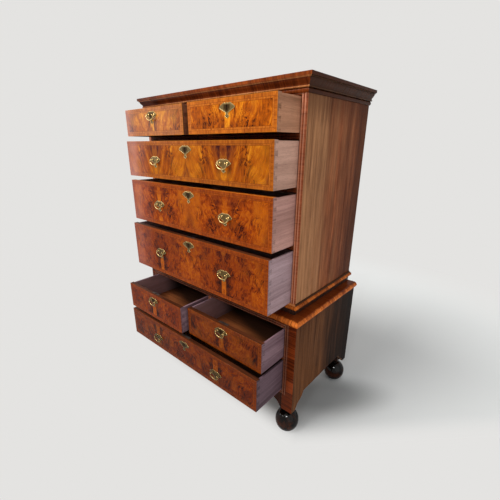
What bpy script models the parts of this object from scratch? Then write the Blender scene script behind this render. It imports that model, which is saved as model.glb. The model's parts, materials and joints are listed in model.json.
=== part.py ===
"""Walnut chest-on-chest of eight drawers on ball feet, all in metres, +Z up.

The drawing frame has x = 0 on the centre line, y = 0 on the upper case's front plane and z = 0
on the floor. An empty shifts the whole piece along Y, so that its bounding box is centred.
The drawers stand partly open, as they are stored. Each one slides along -Y, and each bail
turns about the X axis through its two posts.
"""

import math

import bmesh
import bpy
from mathutils import Matrix, Vector

# Overall case sizes
UPPER_WIDTH = 1.000
LOWER_WIDTH = 1.079
UPPER_DEPTH = 0.527
LOWER_PROJECTION = 0.043

# Heights that stack up from the floor
FOOT_HEIGHT = 0.130
BRACKET_HEIGHT = 0.074
BOTTOM_RAIL_HEIGHT = 0.040
LOWER_LONG_HEIGHT = 0.164
LOWER_SHORT_HEIGHT = 0.144
LOWER_RAIL_SPACE = 0.0195
LOWER_TOP_SPACE = 0.031
WAIST_SLAB_THICKNESS = 0.026
PLINTH_HEIGHT = 0.053
UPPER_LONG_HEIGHTS = (0.237, 0.208, 0.169)
UPPER_SHORT_HEIGHT = 0.121
UPPER_RAIL_SPACE = 0.0235
CORNICE_RISE = 0.0065
CORNICE_HEIGHT = 0.060

# Boards
UPPER_STILE_WIDTH = 0.0265
LOWER_STILE_WIDTH = 0.0592
LOWER_PANEL_THICKNESS = 0.020
LOWER_STILE_DEPTH = 0.022
BACK_THICKNESS = 0.012
BACK_REBATE_WIDTH = 0.012
BACK_BOARD_COUNT = 5
BACK_JOINT_DEPTH = 0.003
TOP_BOARD_THICKNESS = 0.020
RAIL_DEPTH = 0.070
DUSTBOARD_THICKNESS = 0.012
UPPER_DIVIDER_WIDTH = 0.0332
LOWER_DIVIDER_WIDTH = 0.023
GUIDE_HEIGHT = 0.022

# Half-round beads on the stiles and rails
BEAD_WIDTH = 0.0112
BEAD_HEIGHT = 0.004
BEAD_SEGMENTS = 8
TOP_BEAD_WIDTH = 0.006
PLINTH_STRIP_DEPTH = 0.020

# Mouldings: overhang beyond the case faces
CORNICE_OVERHANG = 0.029
CORNICE_FRAME_WIDTH = 0.022
BASE_MOULDING_HEIGHT = 0.026
BASE_MOULDING_OVERHANG = 0.016
WAIST_SLAB_OVERHANG = 0.014

# Members of the cornice, from the top down
FASCIA_HEIGHT = 0.012
FASCIA_PROJECTION = 0.005
CORNICE_FILLET_HEIGHT = 0.004
CYMA_SETBACK = 0.009
CYMA_FOOT = 0.009
CYMA_WAVE = 0.13
CYMA_STEPS = 8
CORNICE_BEAD_TOP = 0.022
CORNICE_BEAD_RADIUS = 0.003
OVOLO_STAND = 0.001
OVOLO_PROJECTION = 0.006
OVOLO_RISE = 0.008

# Members of the base moulding and of the waist board's edge
BASE_FILLET_PROJECTION = 0.006
BASE_FILLET_HEIGHT = 0.004
BASE_SPLAY = 0.002
BASE_FOOT_PROJECTION = 0.005
WAIST_FILLET_SETBACK = 0.006
WAIST_FILLET_HEIGHT = 0.003
WAIST_ROLL_RADIUS = 0.008
WAIST_COVE_SETBACK = 0.018
WAIST_COVE_WIDTH = 0.014

# Brackets and feet
LEG_WIDTH = 0.062
SIDE_LEG_WIDTH = 0.034
BRACKET_FLARE = 0.068
BRACKET_WAVE = 0.09
BRACKET_STEPS = 8
LEG_BLOCK_WIDTH = 0.068
LEG_BLOCK_DEPTH = 0.050
FOOT_DIAMETER = 0.113
FOOT_FLAT_RADIUS = 0.024
FOOT_NECK_RADIUS = 0.019
FOOT_NECK_HEIGHT = 0.016
FOOT_INSET = 0.040
FRONT_FOOT_INSET = 0.030
BACK_FOOT_INSET = 0.045
FOOT_SEGMENTS = 20

# Drawers
FRONT_THICKNESS = 0.022
LAP_THICKNESS = 0.007
DRAWER_SIDE_THICKNESS = 0.010
DRAWER_BACK_THICKNESS = 0.010
DRAWER_BOTTOM_THICKNESS = 0.007
DRAWER_BOTTOM_RISE = 0.003
BOX_TOP_DROP = 0.003
DRAWER_BACK_SPACE = 0.017
TAIL_PITCH = 0.044
TAIL_ROOT_SHARE = 0.50
TAIL_TIP_SHARE = 0.68

# Handles
PLATE_THICKNESS = 0.0016
POST_SPACING = 0.041
POST_STEM_RADIUS = 0.0030
POST_HEAD_RADIUS = 0.0042
POST_STANDOFF = 0.0095
PIN_HOLE_RADIUS = 0.0019
PIN_RADIUS = 0.0014
PIN_REACH = 0.0040
PIN_SHOULDER_GAP = 0.0006
BAIL_WIDTH = 0.060
BAIL_DROP = 0.025
BAIL_RADIUS = 0.0020
BAIL_MIDDLE_RADIUS = 0.0029
BAIL_STEPS = 6
BAIL_SIDES = 6
LONG_HANDLE_REACH = 0.231
SHORT_LOCK_DROP = 0.033
LOW_LOCK_DROP = 0.037
LOW_LONG_HANDLE_DROP = 0.014

# Clearances
FIT_GAP = 0.0003
DRAWER_SIDE_CLEARANCE = 0.001
DRAWER_TOP_CLEARANCE = 0.0015
EMBED = 0.001

# How far each drawer stands out of its case where it is stored
OPENINGS = {
    "top_left_drawer": 0.1395,
    "top_right_drawer": 0.1405,
    "upper_long_drawer_1": 0.1505,
    "upper_long_drawer_2": 0.1480,
    "upper_long_drawer_3": 0.1640,
    "lower_left_drawer": 0.1885,
    "lower_right_drawer": 0.1615,
    "bottom_drawer": 0.1900,
}

# Levels worked out from the stack
FLOOR_TO_LEG = FOOT_HEIGHT + FIT_GAP
APRON_LEVEL = FOOT_HEIGHT + BRACKET_HEIGHT
LOWER_SILL = APRON_LEVEL + BOTTOM_RAIL_HEIGHT
LOWER_LONG_TOP = LOWER_SILL + LOWER_LONG_HEIGHT
LOWER_SHORT_SILL = LOWER_LONG_TOP + LOWER_RAIL_SPACE
LOWER_SHORT_TOP = LOWER_SHORT_SILL + LOWER_SHORT_HEIGHT
SLAB_UNDERSIDE = LOWER_SHORT_TOP + LOWER_TOP_SPACE
SLAB_TOP = SLAB_UNDERSIDE + WAIST_SLAB_THICKNESS
UPPER_BASE = SLAB_TOP + FIT_GAP
UPPER_SILL = SLAB_TOP + PLINTH_HEIGHT

LOWER_FRONT = -LOWER_PROJECTION
UPPER_HALF = UPPER_WIDTH / 2
LOWER_HALF = LOWER_WIDTH / 2
UPPER_INNER = UPPER_HALF - UPPER_STILE_WIDTH + DRAWER_SIDE_CLEARANCE
LOWER_INNER = LOWER_HALF - LOWER_STILE_WIDTH + DRAWER_SIDE_CLEARANCE
BACK_FACE = UPPER_DEPTH
BACK_INNER = UPPER_DEPTH - BACK_THICKNESS
DOUBLE_BEAD = 2 * BEAD_WIDTH


def upper_drawer_levels():
    """Return (bottom, top) of the three long drawers, lowest first, then of the short ones."""
    levels = []
    level = UPPER_SILL
    for height in UPPER_LONG_HEIGHTS + (UPPER_SHORT_HEIGHT,):
        levels.append((level, level + height))
        level += height + UPPER_RAIL_SPACE
    return levels


UPPER_LEVELS = upper_drawer_levels()
UPPER_DRAWER_TOP = UPPER_LEVELS[-1][1]
TOP_BOARD_UNDERSIDE = UPPER_DRAWER_TOP + DRAWER_TOP_CLEARANCE
TOP_BOARD_TOP = TOP_BOARD_UNDERSIDE + TOP_BOARD_THICKNESS
CORNICE_BOTTOM = UPPER_DRAWER_TOP + CORNICE_RISE
CORNICE_TOP = CORNICE_BOTTOM + CORNICE_HEIGHT

# The foremost point is a post head of the lowest drawers, and the rearmost is a back foot.
HANDLE_REACH = FIT_GAP + PLATE_THICKNESS + POST_STANDOFF + POST_HEAD_RADIUS
FOREMOST = LOWER_FRONT - max(OPENINGS["bottom_drawer"], OPENINGS["lower_left_drawer"]) - HANDLE_REACH
REARMOST = BACK_FACE - BACK_FOOT_INSET + FOOT_DIAMETER / 2
CENTRE_SHIFT = -(FOREMOST + REARMOST) / 2


def clear_scene():
    for old in list(bpy.data.objects):
        bpy.data.objects.remove(old, do_unlink=True)


def make_material(name, colour, roughness, metallic=0.0):
    material = bpy.data.materials.new(name)
    material.use_nodes = True
    shader = material.node_tree.nodes["Principled BSDF"]
    shader.inputs["Base Color"].default_value = (*colour, 1.0)
    shader.inputs["Roughness"].default_value = roughness
    shader.inputs["Metallic"].default_value = metallic
    material.diffuse_color = (*colour, 1.0)
    return material


def finish_mesh(name, shape):
    bmesh.ops.recalc_face_normals(shape, faces=shape.faces)
    mesh = bpy.data.meshes.new(name)
    shape.to_mesh(mesh)
    shape.free()
    return mesh


def add_object(name, mesh, material, parent, place=(0.0, 0.0, 0.0)):
    thing = bpy.data.objects.new(name, mesh)
    bpy.context.scene.collection.objects.link(thing)
    if material is not None and not mesh.materials:
        mesh.materials.append(material)
    thing.parent = parent
    thing.location = place
    return thing


def add_empty(name, parent, place):
    empty = bpy.data.objects.new(name, None)
    bpy.context.scene.collection.objects.link(empty)
    empty.parent = parent
    empty.location = place
    return empty


def prism(name, outline, axis, start, end):
    """Extrude a closed outline along an axis. Outlines are (y, z), (x, z) or (x, y) pairs."""
    corners = {
        "X": lambda pair: Vector((start, pair[0], pair[1])),
        "Y": lambda pair: Vector((pair[0], start, pair[1])),
        "Z": lambda pair: Vector((pair[0], pair[1], start)),
    }[axis]
    travel = {"X": Vector((1, 0, 0)), "Y": Vector((0, 1, 0)), "Z": Vector((0, 0, 1))}[axis]
    shape = bmesh.new()
    face = shape.faces.new([shape.verts.new(corners(pair)) for pair in outline])
    grown = bmesh.ops.extrude_face_region(shape, geom=[face])
    moved = [item for item in grown["geom"] if isinstance(item, bmesh.types.BMVert)]
    bmesh.ops.translate(shape, verts=moved, vec=travel * (end - start))
    return finish_mesh(name, shape)


def box(name, low, high):
    shape = bmesh.new()
    bmesh.ops.create_cube(shape, size=1.0)
    low, high = Vector(low), Vector(high)
    for vertex in shape.verts:
        vertex.co = Vector((low[i] + (vertex.co[i] + 0.5) * (high[i] - low[i]) for i in range(3)))
    return finish_mesh(name, shape)


def joined_meshes(name, meshes):
    """Put several meshes that don't touch into one, for use as a cutter."""
    shape = bmesh.new()
    for mesh in meshes:
        shape.from_mesh(mesh)
    return finish_mesh(name, shape)


def combine(target, mesh, operation):
    """Add a Boolean modifier whose helper object is hidden from the build."""
    helper = add_object(target.name + "_helper", mesh, None, target.parent, target.location)
    helper.hide_render = True
    helper.display_type = "WIRE"
    step = target.modifiers.new(operation.lower(), "BOOLEAN")
    step.operation = operation
    step.solver = "EXACT"
    step.object = helper


def beads(start, width, count=2):
    """Points of half-round beads side by side, as (distance along, height) from start."""
    points = []
    each = width / count
    for bead in range(count):
        for step in range(BEAD_SEGMENTS + 1):
            if bead and not step:
                continue
            turn = math.pi * step / BEAD_SEGMENTS
            along = start + each * (bead + (1 - math.cos(turn)) / 2)
            points.append((along, BEAD_HEIGHT * math.sin(turn)))
    return points


def arc_points(centre, radius_a, radius_b, start, end, steps):
    """Points of an elliptic arc between two angles in degrees."""
    points = []
    for step in range(steps + 1):
        turn = math.radians(start + (end - start) * step / steps)
        points.append((centre[0] + radius_a * math.cos(turn), centre[1] + radius_b * math.sin(turn)))
    return points


def moulded_frame(name, profile, half_width, front, back):
    """Sweep a closed (overhang, height) profile round the left, front and right of a case."""
    shape = bmesh.new()
    stations = []
    for side in (-1, 1):
        for end in ((back, 0), (front, -1))[::-side]:
            loop = []
            for overhang, height in profile:
                reach = end[0] + end[1] * overhang
                loop.append(shape.verts.new((side * (half_width + overhang), reach, height)))
            stations.append(loop)
    for first, second in zip(stations, stations[1:]):
        for index in range(len(profile)):
            after = (index + 1) % len(profile)
            shape.faces.new((first[index], first[after], second[after], second[index]))
    shape.faces.new(stations[0])
    shape.faces.new(stations[-1])
    return finish_mesh(name, shape)


def moulded_slab(name, profile, half_width, front, back):
    """A board with an (overhang, height) moulding on its left, front and right edges."""
    shape = bmesh.new()
    layers = []
    for overhang, height in profile:
        wide = half_width + overhang
        corners = ((-wide, back), (-wide, front - overhang), (wide, front - overhang), (wide, back))
        layers.append([shape.verts.new((x, y, height)) for x, y in corners])
    for lower, upper in zip(layers, layers[1:]):
        for side in range(3):
            shape.faces.new((lower[side], lower[side + 1], upper[side + 1], upper[side]))
    shape.faces.new(layers[0])
    shape.faces.new(layers[-1])
    shape.faces.new([layer[0] for layer in layers] + [layer[3] for layer in reversed(layers)])
    return finish_mesh(name, shape)


def turned(name, profile, segments):
    """Spin a (radius, height) profile about Z. It starts and ends off the axis, flat."""
    shape = bmesh.new()
    rings = []
    for radius, height in profile:
        ring = []
        for step in range(segments):
            turn = 2 * math.pi * step / segments
            ring.append(shape.verts.new((radius * math.cos(turn), radius * math.sin(turn), height)))
        rings.append(ring)
    for lower, upper in zip(rings, rings[1:]):
        for step in range(segments):
            after = (step + 1) % segments
            shape.faces.new((lower[step], lower[after], upper[after], upper[step]))
    shape.faces.new(rings[0])
    shape.faces.new(rings[-1])
    mesh = finish_mesh(name, shape)
    mesh.shade_smooth()
    mesh.set_sharp_from_angle(angle=math.radians(40))
    return mesh


def cornice_profile():
    """Crossbanded fascia, fillet, cyma, bead and lower ovolo, then the pine backing."""
    reach = CORNICE_OVERHANG
    top = CORNICE_TOP
    fascia = top - FASCIA_HEIGHT
    cyma_top = fascia - CORNICE_FILLET_HEIGHT
    bead_top = CORNICE_BOTTOM + CORNICE_BEAD_TOP
    points = [(-CORNICE_FRAME_WIDTH, top), (reach, top), (reach, fascia)]
    points.append((reach - FASCIA_PROJECTION, fascia))
    points.append((reach - FASCIA_PROJECTION, cyma_top))
    depth = reach - CYMA_SETBACK - CYMA_FOOT
    height = cyma_top - bead_top
    for step in range(CYMA_STEPS + 1):
        share = step / CYMA_STEPS
        wave = share - CYMA_WAVE * math.sin(2 * math.pi * share)
        points.append((reach - CYMA_SETBACK - depth * wave, cyma_top - height * share))
    bead = CORNICE_BEAD_RADIUS
    points += arc_points((CYMA_FOOT, bead_top - bead), bead, bead, 60, -90, 4)
    ovolo = (FIT_GAP + OVOLO_STAND, CORNICE_BOTTOM + OVOLO_RISE)
    points += arc_points(ovolo, OVOLO_PROJECTION, OVOLO_RISE, 90, -90, 5)
    points.append((FIT_GAP, CORNICE_BOTTOM))
    points.append((FIT_GAP, TOP_BOARD_TOP + FIT_GAP))
    points.append((-CORNICE_FRAME_WIDTH, TOP_BOARD_TOP + FIT_GAP))
    return points


def base_moulding_profile():
    """The moulding planted round the foot of the upper case: fillet, torus and fillet."""
    top = UPPER_SILL
    bottom = UPPER_SILL - BASE_MOULDING_HEIGHT
    middle = (top + bottom) / 2 - BASE_SPLAY
    fillet = BASE_FILLET_PROJECTION
    points = [(FIT_GAP, top), (fillet - BASE_SPLAY, top), (fillet, top - BASE_FILLET_HEIGHT)]
    reach = BASE_MOULDING_OVERHANG - fillet
    points += arc_points((fillet, middle), reach, middle - bottom - BASE_SPLAY, 80, -80, 6)
    points += [(BASE_FOOT_PROJECTION, bottom), (FIT_GAP, bottom)]
    return points


def waist_slab_profile():
    """Thumbnail edge of the lower case's top, from its underside up."""
    reach = WAIST_SLAB_OVERHANG
    bottom = SLAB_UNDERSIDE
    fillet = reach - WAIST_FILLET_SETBACK
    roll = WAIST_ROLL_RADIUS
    points = [(0.0, bottom), (fillet, bottom), (fillet, bottom + WAIST_FILLET_HEIGHT)]
    points += arc_points((reach - roll, bottom + WAIST_FILLET_HEIGHT + roll), roll, roll, -80, 60, 5)
    cove = WAIST_COVE_SETBACK
    rise = WAIST_SLAB_THICKNESS - cove
    points += arc_points((reach - cove, bottom + cove), WAIST_COVE_WIDTH, rise, 30, 90, 3)
    return points


def upper_side_outline(side):
    """Plan of an upper side: double bead in front and a rebate for the back boards."""
    points = [(side * along, -height) for along, height in beads(UPPER_INNER, DOUBLE_BEAD)]
    points.append((side * UPPER_HALF, 0.0))
    points.append((side * UPPER_HALF, BACK_FACE))
    points.append((side * (UPPER_INNER + BACK_REBATE_WIDTH), BACK_FACE))
    points.append((side * (UPPER_INNER + BACK_REBATE_WIDTH), BACK_INNER))
    points.append((side * UPPER_INNER, BACK_INNER))
    return points


def lower_stile_outline(side, beaded):
    """Plan of a lower stile. Above the sill a double bead runs beside its flat banded face."""
    plan = beads(LOWER_INNER, DOUBLE_BEAD) if beaded else [(LOWER_INNER, 0.0)]
    points = [(side * along, LOWER_FRONT - height) for along, height in plan]
    points.append((side * LOWER_HALF, LOWER_FRONT))
    points.append((side * LOWER_HALF, LOWER_FRONT + LOWER_STILE_DEPTH))
    points.append((side * LOWER_INNER, LOWER_FRONT + LOWER_STILE_DEPTH))
    return points


def bracket_curve(inner, outer):
    """S-shaped bracket from the leg's inner edge up to the apron line."""
    height = BRACKET_HEIGHT - FIT_GAP
    points = []
    for step in range(BRACKET_STEPS + 1):
        share = step / BRACKET_STEPS
        rise = share + BRACKET_WAVE * math.sin(2 * math.pi * share)
        points.append((outer + (inner - outer) * share, FLOOR_TO_LEG + height * rise))
    return points


def lower_panel_outline():
    """Side view of a lower side panel, as (y, z), with a leg and bracket at each end."""
    front = LOWER_FRONT + EMBED
    front_leg = LOWER_FRONT + SIDE_LEG_WIDTH
    back_leg = BACK_FACE - SIDE_LEG_WIDTH
    points = [(front, FLOOR_TO_LEG)]
    points += bracket_curve(front_leg + BRACKET_FLARE, front_leg)
    points += reversed(bracket_curve(back_leg - BRACKET_FLARE, back_leg))
    points.append((BACK_FACE, FLOOR_TO_LEG))
    points.append((BACK_FACE, SLAB_UNDERSIDE - FIT_GAP))
    points.append((front, SLAB_UNDERSIDE - FIT_GAP))
    return points


def rail_outline(front, underside, top, back, board_underside):
    """Section of a rail with beads in front and a thinner dustboard behind, as (y, z)."""
    points = [(front - height, along) for along, height in beads(underside, top - underside)]
    points.append((back, top))
    points.append((back, board_underside))
    points.append((front + RAIL_DEPTH, board_underside))
    points.append((front + RAIL_DEPTH, underside))
    return points


def back_outline(half_width):
    """Plan of the back: upright boards that meet in shallow V joints on the outside."""
    points = [(-half_width, BACK_INNER + FIT_GAP)]
    points.append((half_width, BACK_INNER + FIT_GAP))
    points.append((half_width, BACK_FACE))
    board = 2 * half_width / BACK_BOARD_COUNT
    for joint in range(1, BACK_BOARD_COUNT):
        centre = half_width - joint * board
        points.append((centre + BACK_JOINT_DEPTH / 2, BACK_FACE))
        points.append((centre, BACK_FACE - BACK_JOINT_DEPTH))
        points.append((centre - BACK_JOINT_DEPTH / 2, BACK_FACE))
    points.append((-half_width, BACK_FACE))
    return points


def build_upper_case(root, walnut, crossband, pine):
    side_top = TOP_BOARD_TOP
    for side, word in ((-1, "left"), (1, "right")):
        mesh = prism("upper_side", upper_side_outline(side), "Z", UPPER_BASE, side_top)
        add_object("upper_side_" + word, mesh, walnut, root)

    reach = UPPER_INNER - FIT_GAP
    back = BACK_INNER
    section = [(-height, along) for along, height in beads(TOP_BOARD_UNDERSIDE, TOP_BEAD_WIDTH, 1)]
    section += [(0.0, TOP_BOARD_TOP), (back, TOP_BOARD_TOP), (back, TOP_BOARD_UNDERSIDE)]
    add_object("upper_top_board", prism("top_board", section, "X", -reach, reach), pine, root)

    for number, (below, above) in enumerate(zip(UPPER_LEVELS, UPPER_LEVELS[1:]), 1):
        underside = below[1] + DRAWER_TOP_CLEARANCE
        top = above[0] - FIT_GAP
        outline = rail_outline(0.0, underside, top, back, top - DUSTBOARD_THICKNESS)
        mesh = prism("upper_rail", outline, "X", -reach, reach)
        add_object("upper_rail_%d" % number, mesh, walnut, root)

    sill = UPPER_SILL - FIT_GAP
    strip = PLINTH_STRIP_DEPTH
    outline = [(0.0, UPPER_BASE), (0.0, sill), (back, sill), (back, sill - DUSTBOARD_THICKNESS)]
    outline += [(strip, sill - DUSTBOARD_THICKNESS), (strip, UPPER_BASE)]
    mesh = prism("upper_bottom", outline, "X", -reach, reach)
    add_object("upper_bottom_board", mesh, walnut, root)

    half = UPPER_DIVIDER_WIDTH / 2
    outline = [(along, -height) for along, height in beads(-half, 2 * half)]
    outline += [(half, back), (-half, back)]
    low = UPPER_LEVELS[-1][0]
    mesh = prism("upper_divider", outline, "Z", low, TOP_BOARD_UNDERSIDE - FIT_GAP)
    add_object("upper_divider", mesh, walnut, root)

    half_back = UPPER_INNER + BACK_REBATE_WIDTH - FIT_GAP
    mesh = prism("upper_back", back_outline(half_back), "Z", UPPER_BASE, side_top)
    add_object("upper_back_boards", mesh, pine, root)

    front = -BEAD_HEIGHT
    mesh = moulded_frame("cornice", cornice_profile(), UPPER_HALF, front, BACK_FACE)
    add_object("cornice", mesh, crossband, root)
    mesh = moulded_frame("base_moulding", base_moulding_profile(), UPPER_HALF, front, BACK_FACE)
    add_object("upper_base_moulding", mesh, crossband, root)


def build_lower_case(root, walnut, crossband, pine):
    side_top = SLAB_UNDERSIDE - FIT_GAP
    block_top = APRON_LEVEL
    behind_stile = LOWER_FRONT + LOWER_STILE_DEPTH
    guide_levels = (LOWER_SILL, LOWER_SHORT_SILL)
    inside = LOWER_HALF - LOWER_PANEL_THICKNESS
    bead_end = LOWER_SILL - FIT_GAP - DOUBLE_BEAD
    for side, word in ((-1, "left"), (1, "right")):
        mesh = prism("lower_panel", lower_panel_outline(), "X", side * inside, side * LOWER_HALF)
        panel = add_object("lower_side_" + word, mesh, walnut, root)
        for beaded, start, end in ((False, FLOOR_TO_LEG, bead_end), (True, bead_end - EMBED, side_top)):
            stile = prism("lower_stile", lower_stile_outline(side, beaded), "Z", start, end)
            combine(panel, stile, "UNION")
        outer = inside + EMBED
        front_block = (LOWER_FRONT + EMBED, LOWER_FRONT + LEG_BLOCK_DEPTH)
        back_block = (BACK_INNER - LEG_BLOCK_DEPTH, BACK_INNER - EMBED)
        for near, far in (front_block, back_block):
            edge = LOWER_HALF - LEG_BLOCK_WIDTH
            if near < 0:
                edge = LOWER_INNER + EMBED
            ends = sorted((side * edge, side * outer))
            low = (ends[0], near, FLOOR_TO_LEG)
            high = (ends[1], far, block_top)
            combine(panel, box("leg_block", low, high), "UNION")
        for level in guide_levels:
            ends = sorted((side * LOWER_INNER, side * outer))
            low = (ends[0], behind_stile - EMBED, level - FIT_GAP - DUSTBOARD_THICKNESS)
            high = (ends[1], BACK_INNER - FIT_GAP, level + GUIDE_HEIGHT)
            combine(panel, box("drawer_guide", low, high), "UNION")
        rebate = sorted((side * (inside - EMBED), side * (inside + BACK_REBATE_WIDTH / 2)))
        low = (rebate[0], BACK_INNER, LOWER_SILL - DUSTBOARD_THICKNESS - FIT_GAP)
        high = (rebate[1], BACK_FACE + EMBED, side_top + EMBED)
        combine(panel, box("back_rebate", low, high), "DIFFERENCE")

    mesh = moulded_slab("waist_slab", waist_slab_profile(), LOWER_HALF, LOWER_FRONT, BACK_FACE)
    slab = add_object("lower_top_board", mesh, crossband, root)
    reach = LOWER_INNER - FIT_GAP
    underside = LOWER_SHORT_TOP + DRAWER_TOP_CLEARANCE
    section = [(LOWER_FRONT - height, along) for along, height in beads(underside, DOUBLE_BEAD)]
    section += [(LOWER_FRONT, SLAB_UNDERSIDE + EMBED)]
    section += [(LOWER_FRONT + RAIL_DEPTH, SLAB_UNDERSIDE + EMBED)]
    section += [(LOWER_FRONT + RAIL_DEPTH, underside)]
    combine(slab, prism("lower_top_rail", section, "X", -reach, reach), "UNION")

    back = BACK_INNER
    top = LOWER_SHORT_SILL - FIT_GAP
    underside = LOWER_LONG_TOP + DRAWER_TOP_CLEARANCE
    outline = rail_outline(LOWER_FRONT, underside, top, back, top - DUSTBOARD_THICKNESS)
    add_object("lower_rail", prism("lower_rail", outline, "X", -reach, reach), walnut, root)

    half = LOWER_DIVIDER_WIDTH / 2
    outline = [(along, LOWER_FRONT - height) for along, height in beads(-half, 2 * half)]
    outline += [(half, back), (-half, back)]
    top = LOWER_SHORT_TOP + DRAWER_TOP_CLEARANCE - FIT_GAP
    mesh = prism("lower_divider", outline, "Z", LOWER_SHORT_SILL, top)
    add_object("lower_divider", mesh, walnut, root)

    sill = LOWER_SILL - FIT_GAP
    outline = [(LOWER_FRONT, sill), (back, sill), (back, sill - DUSTBOARD_THICKNESS)]
    outline += [(LOWER_FRONT, sill - DUSTBOARD_THICKNESS)]
    board = prism("bottom_board", outline, "X", -reach, reach)
    bottom = add_object("bottom_rail", board, crossband, root)
    ear = LOWER_HALF - LEG_WIDTH
    outline = [(-reach, FLOOR_TO_LEG)]
    outline += bracket_curve(-ear + BRACKET_FLARE, -ear)
    outline += reversed(bracket_curve(ear - BRACKET_FLARE, ear))
    outline += [(reach, FLOOR_TO_LEG), (reach, sill - EMBED), (-reach, sill - EMBED)]
    apron = prism("apron", outline, "Y", LOWER_FRONT, LOWER_FRONT + LOWER_STILE_DEPTH)
    combine(bottom, apron, "UNION")
    section = [(LOWER_FRONT - height, along) for along, height in beads(sill - DOUBLE_BEAD, DOUBLE_BEAD)]
    section += [(LOWER_FRONT + EMBED, sill), (LOWER_FRONT + EMBED, sill - DOUBLE_BEAD)]
    combine(bottom, prism("sill_bead", section, "X", -reach, reach), "UNION")

    half_back = inside + BACK_REBATE_WIDTH / 2 - FIT_GAP
    low = LOWER_SILL - DUSTBOARD_THICKNESS
    mesh = prism("lower_back", back_outline(half_back), "Z", low, side_top)
    add_object("lower_back_boards", mesh, pine, root)


def foot_profile():
    """A near-spherical ball with a flat to stand on and a short turned neck."""
    radius = FOOT_DIAMETER / 2
    ball_top = FOOT_HEIGHT - FOOT_NECK_HEIGHT
    low_turn = math.acos(FOOT_FLAT_RADIUS / radius)
    high_turn = math.acos(FOOT_NECK_RADIUS / radius)
    rise = ball_top / (math.sin(low_turn) + math.sin(high_turn))
    centre = (0.0, rise * math.sin(low_turn))
    points = arc_points(centre, radius, rise, -math.degrees(low_turn), 0, 6)
    points += arc_points(centre, radius, rise, 0, math.degrees(high_turn), 6)[1:]
    points.append((FOOT_NECK_RADIUS, FOOT_HEIGHT))
    return points


def build_feet(root, ebonised):
    mesh = turned("ball_foot", foot_profile(), FOOT_SEGMENTS)
    across = LOWER_HALF - FOOT_INSET
    depths = {"front": LOWER_FRONT + FRONT_FOOT_INSET, "back": BACK_FACE - BACK_FOOT_INSET}
    for end, depth in depths.items():
        for side, word in ((-1, "left"), (1, "right")):
            place = (side * across, depth, 0.0)
            add_object("ball_foot_%s_%s" % (end, word), mesh, ebonised, root, place)


def dovetails(height, inset):
    """The tails on a drawer side as (centre height, half root width, half tip width)."""
    count = max(2, round(height / TAIL_PITCH))
    pitch = height / count
    root = pitch * TAIL_ROOT_SHARE / 2 - inset
    tip = pitch * TAIL_TIP_SHARE / 2 - inset
    return [(pitch * (number + 0.5), root, tip) for number in range(count)]


def drawer_side_outline(length, height):
    """Side board seen from the side, with its dovetails running into the front."""
    shoulder = FRONT_THICKNESS + FIT_GAP
    tip_line = LAP_THICKNESS + FIT_GAP
    points = [(shoulder, 0.0), (length, 0.0), (length, height), (shoulder, height)]
    for centre, root, tip in reversed(dovetails(height, FIT_GAP)):
        points += [(shoulder, centre + root), (tip_line, centre + tip)]
        points += [(tip_line, centre - tip), (shoulder, centre - root)]
    return points


def socket_mesh(half_width, height):
    """The dovetail sockets at both ends of a drawer front."""
    meshes = []
    depth = FRONT_THICKNESS - LAP_THICKNESS
    back = FRONT_THICKNESS + EMBED
    for centre, root, tip in dovetails(height, 0.0):
        mouth = root - (tip - root) * EMBED / depth
        outline = [(back, centre - mouth), (back, centre + mouth)]
        outline += [(LAP_THICKNESS, centre + tip), (LAP_THICKNESS, centre - tip)]
        for side in (-1, 1):
            inner = side * (half_width - DRAWER_SIDE_THICKNESS - FIT_GAP)
            outer = side * (half_width + EMBED)
            meshes.append(prism("socket", outline, "X", inner, outer))
    return joined_meshes("sockets", meshes)


def build_drawer(root, spec, walnut_front, oak, parts):
    """A drawer is a front with lapped dovetails and a box of sides, back and bottom."""
    name = spec["name"]
    half = (spec["right"] - spec["left"]) / 2
    centre = (spec["right"] + spec["left"]) / 2
    height = spec["top"] - spec["bottom"]
    place = (centre, spec["plane"] - OPENINGS[name], spec["bottom"])
    holder = add_empty(name + "_place", root, place)

    front_mesh = box("front", (-half, 0.0, 0.0), (half, FRONT_THICKNESS, height))
    front = add_object(name + "_front", front_mesh, walnut_front, holder)
    box_height = height - BOX_TOP_DROP
    combine(front, socket_mesh(half, box_height), "DIFFERENCE")

    length = BACK_INNER - DRAWER_BACK_SPACE - spec["plane"]
    outline = drawer_side_outline(length, box_height)
    inner = half - DRAWER_SIDE_THICKNESS
    left = prism("drawer_side", outline, "X", -half, -inner)
    tray = add_object(name + "_box", left, oak, holder)
    combine(tray, prism("drawer_side", outline, "X", inner, half), "UNION")
    shoulder = FRONT_THICKNESS + FIT_GAP
    low = (-inner - EMBED, shoulder, DRAWER_BOTTOM_RISE)
    high = (inner + EMBED, length - EMBED, DRAWER_BOTTOM_RISE + DRAWER_BOTTOM_THICKNESS)
    combine(tray, box("drawer_bottom", low, high), "UNION")
    low = (-inner - EMBED, length - DRAWER_BACK_THICKNESS, DRAWER_BOTTOM_RISE + EMBED)
    high = (inner + EMBED, length - EMBED / 2, box_height - BOX_TOP_DROP)
    combine(tray, box("drawer_back", low, high), "UNION")

    for handle in spec["handles"]:
        post_line = (handle["across"] - centre, -FIT_GAP, handle["level"] - spec["bottom"])
        add_object(name + "_plate" + handle["word"], parts["plate"], parts["brass"], holder, post_line)
        axis = (post_line[0], -FIT_GAP - PLATE_THICKNESS - POST_STANDOFF, post_line[2])
        add_object(name + "_bail" + handle["word"], parts["bail"], parts["brass"], holder, axis)


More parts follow.
